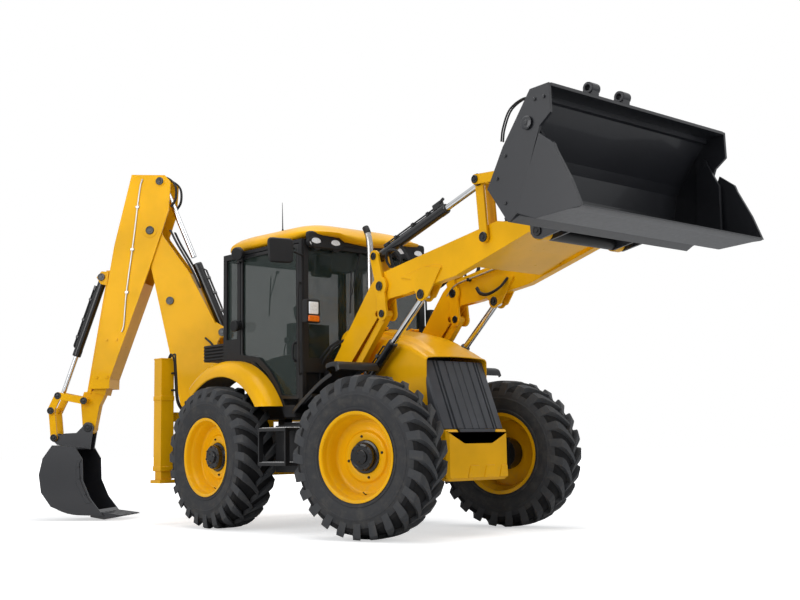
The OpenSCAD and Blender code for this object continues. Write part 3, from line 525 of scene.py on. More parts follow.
class Graph:
    """The nodes of one material."""

    def __init__(self, name: str) -> None:
        """Makes an empty material of that name."""
        self.material = bpy.data.materials.new(name)
        self.material.use_nodes = True
        self.tree = self.material.node_tree
        self.tree.nodes.clear()

    def node(self, kind: str, settings: dict[str, Any] | None = None,
             inputs: dict[Any, Any] | None = None) -> Any:
        """Adds a node.

        Args:
            kind: the node's type, without the words ShaderNode.
            settings: properties set before the sockets; "stops" are a ramp's (position, colour) pairs.
            inputs: values, Values or sockets for the node's inputs, by name or number.

        Returns:
            The node.
        """
        made = self.tree.nodes.new("ShaderNode" + kind)
        for key, value in (settings or {}).items():
            if key == "stops":
                ramp = made.color_ramp.elements
                while len(ramp) < len(value):
                    ramp.new(0.5)
                for stop, (position, colour) in zip(ramp, value):
                    stop.position, stop.color = position, (*colour, 1)
            else:
                setattr(made, key, value)
        for key, value in (inputs or {}).items():
            source = value.socket if isinstance(value, Value) else value
            if isinstance(source, bpy.types.NodeSocket):
                self.tree.links.new(source, made.inputs[key])
            else:
                plain = isinstance(source, tuple) and len(source) == 3
                opaque = plain and made.inputs[key].type == "RGBA"
                made.inputs[key].default_value = (*source, 1) if opaque else source
        return made

    def spot(self) -> Any:
        """The point on the object, in metres."""
        return self.node("TexCoord").outputs["Object"]

    def noise(self, scale: float, detail: float = 3.0, stretch: Rgb = (1, 1, 1),
              rough: float = 0.5) -> Value:
        """Soft noise of about 0 to 1, with scale cells a metre.

        Args:
            scale: the cells a metre.
            detail: the number of finer layers.
            stretch: a factor for each axis.
            rough: how strong the finer layers are.

        Returns:
            The noise.
        """
        where = self.node("Mapping", {}, {"Vector": self.spot(), "Scale": stretch}).outputs[0]
        inputs = {"Vector": where, "Scale": scale, "Detail": detail, "Roughness": rough}
        return Value(self, self.node("TexNoise", {}, inputs).outputs[0])

    def height(self) -> Value:
        """The point's height over the ground."""
        return Value(self, self.node("SeparateXYZ", {}, {0: self.spot()}).outputs[2])

    def wave(self, direction: str, scale: float) -> Value:
        """Bands of 0 to 1 across one axis."""
        inputs = {"Vector": self.spot(), "Scale": scale}
        return Value(self, self.node("TexWave", {"bands_direction": direction}, inputs).outputs[1])

    def principled(self, inputs: dict[str, Any]) -> Any:
        """The surface shader of that name, with its inputs."""
        return self.node("BsdfPrincipled", {}, inputs).outputs[0]

    def mix(self, share: Any, first: Any, second: Any) -> Any:
        """A colour between two, by share."""
        return self.node("Mix", {"data_type": "RGBA"}, {0: share, 6: first, 7: second}).outputs[2]

    def edge_normal(self, radius: float) -> Any:
        """The normal as if edges were rounded by radius."""
        return self.node("Bevel", {"samples": 3}, {"Radius": radius}).outputs[0]

    def bump(self, height: Value, strength: float, distance: float, normal: Any = None) -> Any:
        """A normal bent by a height.

        Args:
            height: what bends the surface.
            strength: its share, 0 to 1.
            distance: its depth in metres.
            normal: the normal that is bent, if not the surface's own.

        Returns:
            The bent normal.
        """
        inputs = {"Height": height, "Strength": strength, "Distance": distance}
        if normal is not None:
            inputs["Normal"] = normal
        return self.node("Bump", {}, inputs).outputs[0]

    def finish(self, shader: Any) -> bpy.types.Material:
        """Joins the shader to the material's surface."""
        self.node("OutputMaterial", {}, {"Surface": shader})
        return self.material


# ---------------------------------------------------------------- finishes


@dataclass(frozen=True)
class Finish:
    """How one surface looks, and the record's material slot that it belongs to."""

    name: str
    slot: str
    colour: Rgb
    roughness: float = 0.4

    def shader(self, graph: Graph) -> Any:
        """The finish's surface shader."""
        raise NotImplementedError

    def material(self) -> bpy.types.Material:
        """The finish's material, made once.

        Returns:
            The material.
        """
        found = bpy.data.materials.get(self.name)
        if found:
            return found
        graph = Graph(self.name)
        return graph.finish(self.shader(graph))


@dataclass(frozen=True)
class Paint(Finish):
    """Sprayed enamel: a faint orange peel, uneven gloss, dust low down and dulled edges."""

    coat: float = 0.5
    dust: float = 0.25
    peel: float = 0.10
    edge: float = 0.004
    metallic: float = 0.0
    gloss: float = 0.5
    tint: Rgb = (1.0, 1.0, 1.0)

    def shader(self, graph: Graph) -> Any:
        """Base colour shaded by two noises and by dust, under a thin coat.

        Args:
            graph: the material's graph.

        Returns:
            The shader's output socket.
        """
        wide, fine = graph.noise(1.7, 4), graph.noise(23, 5, rough=0.65)
        dark = tuple(0.86 * c for c in self.colour)
        pale = tuple(min(1.0, 1.05 * c) for c in self.colour)
        colour = graph.mix(wide.step(0.3, 0.7), dark, pale)
        low = graph.height().step(1.15, 0.25)
        dusty = (fine * low).step(0.34, 0.75) * self.dust
        colour = graph.mix(dusty, colour, (0.30, 0.25, 0.18))
        rough = self.roughness + (fine - 0.5) * 0.16 + dusty * 0.5
        normal = graph.edge_normal(self.edge) if self.edge else None
        bent = graph.bump(graph.noise(420, 2), self.peel, 0.0006, normal)
        inputs = {"Base Color": colour, "Roughness": rough, "Normal": bent, "Metallic": self.metallic,
                  "Coat Weight": self.coat, "Coat Roughness": 0.06, "Specular IOR Level": self.gloss,
                  "Specular Tint": (*self.tint, 1.0)}
        return graph.principled(inputs)


@dataclass(frozen=True)
class Rubber(Finish):
    """Moulded rubber: dark, dull, paler where it is dusty."""

    dust: float = 0.35

    def shader(self, graph: Graph) -> Any:
        """Dark rubber with fine grain and pale dust in patches.

        Args:
            graph: the material's graph.

        Returns:
            The shader's output socket.
        """
        patch, grain = graph.noise(9, 6, rough=0.7), graph.noise(260, 3)
        colour = graph.mix(patch.step(0.42, 0.8) * self.dust, self.colour, (0.16, 0.145, 0.12))
        rough = self.roughness + (patch - 0.5) * 0.3
        normal = graph.bump(grain, 0.25, 0.001)
        inputs = {"Base Color": colour, "Roughness": rough, "Normal": normal,
                  "Specular IOR Level": 0.28}
        return graph.principled(inputs)


@dataclass(frozen=True)
class Metal(Finish):
    """Bare metal, polished or brushed along one direction, with stains."""

    stretch: Rgb = (1.0, 1.0, 1.0)
    stain: Rgb = (0.2, 0.18, 0.15)
    stained: float = 0.2
    metallic: float = 1.0
    grain: float = 0.08
    uneven: float = 0.12

    def shader(self, graph: Graph) -> Any:
        """Metal whose gloss varies with a stretched noise and with stains.

        Args:
            graph: the material's graph.

        Returns:
            The shader's output socket.
        """
        grain, patch = graph.noise(300, 3, self.stretch), graph.noise(6, 5, rough=0.7)
        colour = graph.mix(patch.step(0.5, 0.8) * self.stained, self.colour, self.stain)
        rough = self.roughness + (grain - 0.5) * self.uneven + patch.step(0.5, 0.8) * 0.15
        normal = graph.bump(grain, self.grain, 0.0006)
        inputs = {"Base Color": colour, "Roughness": rough, "Normal": normal, "Metallic": self.metallic}
        return graph.principled(inputs)


@dataclass(frozen=True)
class Plastic(Finish):
    """Grained moulded plastic."""

    grain: float = 0.3
    grain_scale: float = 900.0

    def shader(self, graph: Graph) -> Any:
        """Plastic with a fine pebble grain and faint fading.

        Args:
            graph: the material's graph.

        Returns:
            The shader's output socket.
        """
        fade, pebble = graph.noise(4, 4), graph.noise(self.grain_scale, 2)
        pale = tuple(min(1.0, 1.6 * c + 0.004) for c in self.colour)
        colour = graph.mix(fade.step(0.35, 0.8) * 0.5, self.colour, pale)
        rough = self.roughness + (fade - 0.5) * 0.2
        normal = graph.bump(pebble, self.grain, 0.0005, graph.edge_normal(0.004))
        inputs = {"Base Color": colour, "Roughness": rough, "Normal": normal, "Specular IOR Level": 0.3}
        return graph.principled(inputs)


@dataclass(frozen=True)
class Pane(Finish):
    """Tinted glass that lets some light through, with a film of dust."""

    alpha: float = 0.50

    def shader(self, graph: Graph) -> Any:
        """A dark glossy sheet whose cover varies a little.

        Args:
            graph: the material's graph.

        Returns:
            The shader's output socket.
        """
        film = graph.noise(5, 5, rough=0.7)
        colour = graph.mix(film.step(0.45, 0.9) * 0.3, self.colour, (0.10, 0.11, 0.10))
        rough = self.roughness + film.step(0.5, 1.0) * 0.1
        alpha = self.alpha + (film - 0.5) * 0.08
        inputs = {"Base Color": colour, "Roughness": rough, "Alpha": alpha, "Specular IOR Level": 0.25}
        return graph.principled(inputs)


@dataclass(frozen=True)
class Lens(Finish):
    """A ribbed lamp lens over a reflector."""

    ribs: float = 220.0
    glow: float = 0.0

    def shader(self, graph: Graph) -> Any:
        """Bright glossy plastic with fine ribs.

        Args:
            graph: the material's graph.

        Returns:
            The shader's output socket.
        """
        ribs = graph.wave("Z", self.ribs / 20)
        cells = graph.noise(60, 2)
        colour = graph.mix(cells.step(0.3, 0.7) * 0.5, self.colour, tuple(0.6 * c for c in self.colour))
        inputs = {"Base Color": colour, "Roughness": self.roughness + cells * 0.1,
                  "Normal": graph.bump(ribs, 0.35, 0.001), "Coat Weight": 0.6,
                  "Emission Color": self.colour, "Emission Strength": self.glow}
        return graph.principled(inputs)


@dataclass(frozen=True)
class Cloth(Finish):
    """Woven seat cloth."""

    threads: float = 160.0

    def shader(self, graph: Graph) -> Any:
        """A crossed weave of two wave patterns with flecks.

        Args:
            graph: the material's graph.

        Returns:
            The shader's output socket.
        """
        warp, weft = graph.wave("Y", self.threads), graph.wave("X", self.threads)
        weave, fleck = warp * weft, graph.noise(90, 3)
        colour = graph.mix(fleck.step(0.4, 0.7), self.colour, tuple(1.9 * c for c in self.colour))
        inputs = {"Base Color": colour, "Roughness": self.roughness + fleck * 0.1,
                  "Normal": graph.bump(weave, 0.5, 0.001), "Sheen Weight": 0.3}
        return graph.principled(inputs)


YELLOW = Paint("yellow_enamel", "yellow_paint", (0.90, 0.455, 0.004), 0.30, coat=0.12, gloss=0.35,
               tint=(1.0, 0.62, 0.12))
BLACK = Paint("satin_black", "black_paint", (0.010, 0.010, 0.011), 0.42, coat=0.12, dust=0.15,
              gloss=0.32)
GLOSS_BLACK = Paint("gloss_black", "black_paint", (0.008, 0.008, 0.009), 0.24, coat=0.4, dust=0.1,
                    gloss=0.35)
CHARCOAL = Paint("charcoal_enamel", "charcoal_paint", (0.017, 0.018, 0.022), 0.36, coat=0.25,
                 dust=0.0, peel=0.16)
CAST = Paint("rough_casting", "cast_metal", (0.05, 0.05, 0.055), 0.62, coat=0.0, dust=0.3, peel=0.5)
TRIM = Plastic("grained_trim", "trim_plastic", (0.010, 0.010, 0.011), 0.55)
GRILLE = Plastic("grille_plastic", "trim_plastic", (0.055, 0.058, 0.066), 0.42, grain=0.12)
TYRE = Rubber("tyre_wall_rubber", "tyre_rubber", (0.030, 0.031, 0.034), 0.62, dust=0.28)
LUG = Rubber("lug_rubber", "tyre_rubber", (0.046, 0.048, 0.052), 0.66, dust=0.3)
# painted shade: near-black rubber for the band between the lugs, darker than the tyre's own rubber,
# standing in for the shade between them
SHADE_BAND_RUBBER = Rubber("tread_painted_shade_rubber", "tyre_rubber", (0.005, 0.005, 0.006), 0.80, dust=0.08)
HOSE = Rubber("hose_rubber", "black_paint", (0.012, 0.012, 0.013), 0.48, dust=0.1)
SEAL = Rubber("seal_rubber", "black_paint", (0.010, 0.010, 0.011), 0.55, dust=0.15)
CHROME = Metal("polished_rod", "rod_chrome", (0.78, 0.79, 0.80), 0.10, stained=0.04, grain=0.01,
               uneven=0.03)
ZINC = Metal("zinc_plate", "rod_chrome", (0.55, 0.55, 0.54), 0.34, stained=0.35)
STEEL = Metal("stainless_stack", "exhaust_steel", (0.48, 0.47, 0.46), 0.26, stretch=(6, 6, 1),
              stain=(0.25, 0.17, 0.10), stained=0.6)
TREAD = Metal("step_tread", "rod_chrome", (0.42, 0.42, 0.42), 0.45, stained=0.5, grain=0.3)
GLASS = Pane("cab_pane_tint", "tinted_glass", (0.026, 0.040, 0.035), 0.04)
MIRROR = Metal("mirror_glass", "rod_chrome", (0.55, 0.57, 0.58), 0.05, stained=0.1)
CLEAR_LENS = Lens("clear_lens", "tinted_glass", (0.80, 0.82, 0.84), 0.12, glow=0.15)
AMBER_LENS = Lens("amber_lens", "tinted_glass", (0.85, 0.16, 0.01), 0.15, glow=0.1)
RED_LENS = Lens("red_lens", "tinted_glass", (0.55, 0.01, 0.01), 0.15, glow=0.05)
SEAT_CLOTH = Cloth("seat_cloth", "trim_plastic", (0.030, 0.031, 0.034), 0.8)


# ---------------------------------------------------------------- pieces


def add(name: str, forms: Sequence[Form], finish: Finish, body: str, place: Place | None = None,
        sharp: float = 32.0) -> bpy.types.Object:
    """Makes one piece of several closed surfaces, with outward faces.

    Args:
        name: the piece's name.
        forms: its surfaces.
        finish: what it is made of.
        body: the body that carries it.
        place: where its local frame stands; the source's frame if none is given.
        sharp: edges that turn by more than this angle, in degrees, are sharp.

    Returns:
        The piece, riding on its body.
    """
    form = join(forms).put(place or Place.machine())
    mesh = bpy.data.meshes.new(name)
    mesh.from_pydata(form.points.tolist(), [], [row for face in form.faces for row in face.tolist()])
    work = bmesh.new()
    work.from_mesh(mesh)
    bmesh.ops.remove_doubles(work, verts=work.verts, dist=2e-5)
    bmesh.ops.dissolve_degenerate(work, dist=1e-6, edges=work.edges)
    bmesh.ops.recalc_face_normals(work, faces=work.faces)
    work.to_mesh(mesh)
    work.free()
    mesh.shade_smooth()
    mesh.set_sharp_from_angle(angle=math.radians(sharp))
    mesh.materials.append(finish.material())
    piece = bpy.data.objects.new(name, mesh)
    bpy.context.scene.collection.objects.link(piece)
    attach(piece, body)
    log.info("%s: %d faces on %s", name, len(mesh.polygons), body)
    return piece


@dataclass
class Dressing:
    """Finishes for the solids that stay as they are."""

    by_slot: dict[str, Finish] = field(default_factory=lambda: {
        "yellow_paint": YELLOW, "black_paint": BLACK, "charcoal_paint": CHARCOAL,
        "tyre_rubber": TYRE, "rod_chrome": CHROME, "cast_metal": CAST, "trim_plastic": TRIM,
        "tinted_glass": GLASS, "exhaust_steel": STEEL})
    special: dict[str, Finish] = field(default_factory=lambda: {
        "lift_barrels": GLOSS_BLACK, "tip_barrels": GLOSS_BLACK, "boom_barrel": GLOSS_BLACK,
        "dipper_barrel": GLOSS_BLACK, "hoe_barrel": GLOSS_BLACK, "grille": GRILLE,
        "cab_frame": TRIM})

    def apply(self, frame: dict[str, Any]) -> None:
        """Gives each node the finish of its slot, or its special one.
        """
        slots = {part["node"]: part["material_slot"] for part in frame["record"]["subparts"]}
        for name, node in frame["nodes"].items():
            finish = self.special.get(name, self.by_slot[slots[name]])
            for socket in node.material_slots:
                socket.material = finish.material()


@dataclass
class Studio:
    """Pale floor, soft lamps and the photograph's camera."""

    eye: Rgb = (9.226, -7.379, 0.823)
    yaw: float = 138.296
    pitch: float = 6.903
    roll: float = -0.855
    lens: float = 52.99
    floor_half: float = 70.0
    floor_lift: float = 0.55

    def camera(self) -> None:
        """Stands the camera where the photograph was taken from."""
        yaw, pitch, roll = (math.radians(v) for v in (self.yaw, self.pitch, self.roll))
        look = np.array([math.cos(yaw) * math.cos(pitch), math.sin(yaw) * math.cos(pitch),
                         math.sin(pitch)])
        right = np.array([math.sin(yaw), -math.cos(yaw), 0.0])
        up = np.cross(right, look)
        right, up = (right * math.cos(roll) + up * math.sin(roll),
                     up * math.cos(roll) - right * math.sin(roll))
        data = bpy.data.cameras.new("camera")
        data.lens, data.sensor_width, data.clip_end = self.lens, 36, 200
        camera = bpy.data.objects.new("camera", data)
        rows = np.column_stack([right, up, -look, np.array(self.eye)]).tolist() + [[0, 0, 0, 1]]
        camera.matrix_world = Matrix(rows)
        bpy.context.scene.collection.objects.link(camera)
        bpy.context.scene.camera = camera

    def lamp(self, name: str, spot: Rgb, aim: Rgb, size: Pair, power: float,
             colour: Rgb = (1, 1, 1)) -> None:
        """Adds a soft rectangular lamp that shines from spot towards aim.

        Args:
            name: the lamp's name.
            spot: where it stands.
            aim: the point that it faces.
            size: its two sides.
            power: its power in watts.
            colour: its colour.
        """
        data = bpy.data.lights.new(name, "AREA")
        data.shape, data.size, data.size_y, data.energy, data.color = "RECTANGLE", *size, power, colour
        lamp = bpy.data.objects.new(name, data)
        axis = np.array(spot) - np.array(aim)
        axes = Place.facing(spot, axis).axes
        lamp.matrix_world = Matrix(np.column_stack([*axes, np.array(spot)]).tolist() + [[0, 0, 0, 1]])
        bpy.context.scene.collection.objects.link(lamp)

    def floor(self) -> None:
        """Lays a pale floor that the camera sees as nearly white, with the machine's shadow on it."""
        h = self.floor_half
        mesh = bpy.data.meshes.new("floor")
        mesh.from_pydata([(-h, -h, -0.002), (h, -h, -0.002), (h, h, -0.002), (-h, h, -0.002)], [],
                         [(0, 1, 2, 3)])
        graph = Graph("pale_floor")
        ray = graph.node("LightPath")
        matt = graph.node("BsdfDiffuse", {}, {"Color": (0.80, 0.80, 0.80)}).outputs[0]
        length = graph.node("VectorMath", {"operation": "LENGTH"}, {0: graph.spot()})
        away = Value(graph, length.outputs["Value"])
        seen = Value(graph, ray.outputs["Is Camera Ray"]) + ray.outputs["Is Transmission Ray"]
        glow = seen * (self.floor_lift + away.step(4.5, 13.0) * 0.7)
        lift = graph.node("Emission", {}, {"Color": (1, 1, 1), "Strength": glow})
        lit = graph.node("AddShader", {}, {0: matt, 1: lift.outputs[0]}).outputs[0]
        mesh.materials.append(graph.finish(lit))
        floor = bpy.data.objects.new("floor", mesh)
        bpy.context.scene.collection.objects.link(floor)

    def sky(self) -> None:
        """A plain world: white behind the machine, a soft grey on it."""
        world = bpy.data.worlds.new("studio")
        bpy.context.scene.world = world
        world.use_nodes = True
        tree = world.node_tree
        tree.nodes.clear()
        ray, mix = tree.nodes.new("ShaderNodeLightPath"), tree.nodes.new("ShaderNodeMixShader")
        direct, either = tree.nodes.new("ShaderNodeMath"), tree.nodes.new("ShaderNodeMath")
        tree.links.new(ray.outputs["Is Camera Ray"], direct.inputs[0])
        tree.links.new(ray.outputs["Is Transmission Ray"], direct.inputs[1])
        tree.links.new(direct.outputs[0], either.inputs[2])
        either.operation = "MULTIPLY_ADD"
        tree.links.new(ray.outputs["Is Glossy Ray"], either.inputs[0])
        either.inputs[1].default_value = 0.5
        soft, white = tree.nodes.new("ShaderNodeBackground"), tree.nodes.new("ShaderNodeBackground")
        soft.inputs[0].default_value, soft.inputs[1].default_value = (0.93, 0.96, 1, 1), 0.42
        white.inputs[0].default_value, white.inputs[1].default_value = (1, 1, 1, 1), 1.0
        tree.links.new(either.outputs[0], mix.inputs[0])
        tree.links.new(soft.outputs[0], mix.inputs[1])
        tree.links.new(white.outputs[0], mix.inputs[2])
        tree.links.new(mix.outputs[0], tree.nodes.new("ShaderNodeOutputWorld").inputs[0])

    def build(self) -> None:
        """Sets the whole studio up."""
        bpy.context.scene.view_settings.view_transform = "Standard"
        self.camera()
        self.floor()
        self.sky()
        self.lamp("top_lamp", (1.0, -0.5, 8.5), (0, 0, 1.0), (9, 6), 420)
        self.lamp("right_lamp", (1.0, -9.5, 4.2), (0, 0, 1.5), (7, 4), 300)
        self.lamp("front_lamp", (10.5, 2.0, 4.0), (1.5, 0, 1.6), (4, 4), 130)


# ---------------------------------------------------------------- the machine


@dataclass
class Wheel:
    """A tractor tyre with two rows of slanted lugs, a deep yellow rim and a black hub.

    Each row of studs is a ring of nuts: their count, the ring's radius, its height and a nut's radius.
    """

    front: bool
    side: int
    tyre_r: float = 0.705
    half_w: float = 0.220
    rim_r: float = 0.368
    lug_depth: float = 0.036
    lugs: int = 24
    lug_lean: float = 0.30
    rim_half_w: float = 0.200
    studs: tuple[tuple[int, float, float, float], ...] = (
        (4, 0.178, 0.051, 0.009), (8, 0.104, 0.114, 0.007), (3, 0.040, 0.129, 0.006))
    facets: int = 96

    @property
    def tag(self) -> str:
        """The wheel's place in words."""
        return f"{'front' if self.front else 'rear'}_{'left' if self.side > 0 else 'right'}"

    def carcass(self) -> Form:
        """The tyre without lugs: a profile of bead, bulged wall with rings, shoulder and crown,
        turned.

        Returns:
            The closed surface.
        """
        r0, w = self.rim_r, self.half_w
        base = self.tyre_r - self.lug_depth
        half = [(r0 + 0.002, w - 0.036), (r0 + 0.020, w - 0.029), (r0 + 0.034, w - 0.024),
                (r0 + 0.040, w - 0.016), (r0 + 0.052, w - 0.014), (r0 + 0.058, w - 0.020),
                (r0 + 0.085, w - 0.011), (r0 + 0.120, w - 0.006), (r0 + 0.150, w - 0.004),
                (r0 + 0.154, w - 0.0015), (r0 + 0.166, w - 0.0015), (r0 + 0.170, w - 0.005),
                (r0 + 0.205, w - 0.010), (base - 0.070, w - 0.018), (base - 0.040, w - 0.030),
                (base - 0.016, w - 0.062), (base - 0.004, w - 0.115), (base, w - 0.175),
                (base, 0.0)]
        inner = [(r0 + 0.002, 0.0), (r0 + 0.002, w - 0.060)]
        ring = inner + half + [(r, -z) for r, z in half[-2::-1] + inner[:0:-1]]
        return turned(ring, self.facets, closed=True)

    def painted_shade_band(self) -> Form:
        """A painted shade band between the lugs: the carcass's crown and shoulders, 1 mm proud of it,
        in a rubber far darker than the tyre's own that stands in for the shade between the lugs.

        Returns:
            The closed surface.
        """
        base, w = self.tyre_r - self.lug_depth, self.half_w
        half = [(base - 0.069, w - 0.0165), (base - 0.039, w - 0.0288), (base - 0.015, w - 0.0612),
                (base - 0.003, w - 0.1145), (base + 0.001, w - 0.175), (base + 0.001, 0.0)]
        inner = [(base - 0.030, 0.0), (base - 0.075, w - 0.040)]
        ring = inner + half + [(r, -z) for r, z in half[-2::-1] + inner[:0:-1]]
        return turned(ring, self.facets, closed=True)

    def lug_set(self) -> Form:
        """All lugs. A lug runs from the crown to the wall: at share t its middle stands at the angle
        a + lean * t, its height over the carcass fades on the wall, and its width grows outwards.

        Returns:
            One surface of all lugs.
        """
        rows = np.linspace(0, 1, 9)
        knots = [0, 0.55, 0.8, 0.92, 1]
        z = np.interp(rows, knots, [-0.022, 0.115, 0.176, 0.205, 0.214])
        top = np.interp(rows, knots, [-0.0005, -0.002, -0.008, -0.034, -0.120]) + self.tyre_r
        foot = np.interp(rows, knots, [0.044, 0.046, 0.062, 0.080, 0.100])
        turn = self.lug_lean * rows**0.85
        width = np.interp(rows, [0, 0.3, 0.7, 1], [0.042, 0.050, 0.078, 0.084])
        across = np.array([-0.62, -0.5, 0.5, 0.62])
        depth = np.array([1.0, 0.0, 0.0, 1.0])
        n = self.lugs
        for_side = []
        for way, start in ((1, 0.0), (-1, 0.5)):
            first = (np.arange(n) + start) * 2 * math.pi / n
            spread = (width[:, None] * across)[None] / self.tyre_r
            a = first[:, None, None] + turn[None, :, None] + spread
            r = (top[:, None] - depth * foot[:, None])[None]
            h = way * (z[:, None] - 0.008 * depth * (rows[:, None] > 0.85))[None]
            h = np.broadcast_to(h, a.shape)
            points = np.stack([r * np.cos(a), r * np.sin(a), h], -1)
            for_side += [grid(lug, wrap_columns=True, ends=True) for lug in points]
        return join(for_side)

    def rim(self) -> Form:
        """The rim: outer flange, bead seat, deep well, and a disc far inside with a raised ring.

        Returns:
            The closed surface.
        """
        r, w = self.rim_r, self.rim_half_w
        out = [(r + 0.020, w - 0.006), (r + 0.022, w - 0.001), (r + 0.012, w),
               (r - 0.002, w - 0.003), (r - 0.010, w - 0.014), (r - 0.013, w - 0.050),
               (r - 0.020, w - 0.066), (r - 0.040, w - 0.090), (r - 0.043, 0.046),
               (r - 0.052, 0.034), (r - 0.075, 0.030), (0.232, 0.030), (0.222, 0.034),
               (0.216, 0.046), (0.206, 0.051), (0.150, 0.051), (0.144, 0.047), (0.130, 0.030)]
        inner = [(0.130, 0.012), (r - 0.052, 0.012), (r - 0.047, -0.100), (r - 0.014, -0.140),
                 (r - 0.012, -0.188), (r + 0.022, -0.196), (r + 0.022, -0.189), (r - 0.002, -0.186),
                 (r - 0.002, -0.140), (r - 0.034, -0.104), (r - 0.034, 0.104), (r - 0.002, 0.140),
                 (r - 0.002, 0.188)]
        return turned(out + inner, self.facets, closed=True)

    def hub(self) -> list[Form]:
        """The planetary hub: stepped casting, end cap, plug and the studs round it.

        Returns:
            The surfaces.
        """
        casting = turned([(0.0, -0.090), (0.058, -0.090), (0.058, 0.008), (0.142, 0.010),
                          (0.144, 0.052), (0.139, 0.057), (0.122, 0.060), (0.118, 0.066),
                          (0.117, 0.108), (0.112, 0.114), (0.094, 0.116), (0.090, 0.112),
                          (0.062, 0.112), (0.060, 0.125), (0.055, 0.129), (0.0, 0.129)], 64)
        nuts = []
        for count, radius, z, size in self.studs:
            for a in np.arange(count) * 2 * math.pi / count + 0.2:
                spot = (radius * math.cos(a), radius * math.sin(a), z)
                nuts.append(nut(size, size * 1.5).put(Place.facing(spot, (0, 0, 1))))
        return [casting] + nuts

    def build(self) -> None:
        """Makes the wheel's pieces, which stand for the tyre and the rim."""
        place, body = Place.wheel(self.front, self.side), f"wheel_{self.tag}"
        tyre = add(f"tyre_dressed_{self.tag}", [self.carcass()], TYRE, body, place, sharp=28)
        # the tread band is painted shade between the lugs
        add(f"painted_shade_band_{self.tag}", [self.painted_shade_band()], SHADE_BAND_RUBBER, body, place, sharp=28)
        add(f"lugs_{self.tag}", [self.lug_set()], LUG, body, place, sharp=28)
        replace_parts(tyre, f"tyre_{self.tag}")
        rim = add(f"rim_dressed_{self.tag}", [self.rim()], YELLOW, body, place, sharp=50)
        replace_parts(rim, f"rim_{self.tag}")
        add(f"hub_{self.tag}", self.hub(), GLOSS_BLACK, body, place)
        valve = tube([(0.0, -0.322, 0.034), (0.0, -0.318, 0.060), (0.0, -0.300, 0.088)], 0.005, 8)
        add(f"valve_{self.tag}", [valve], SEAL, body, place)


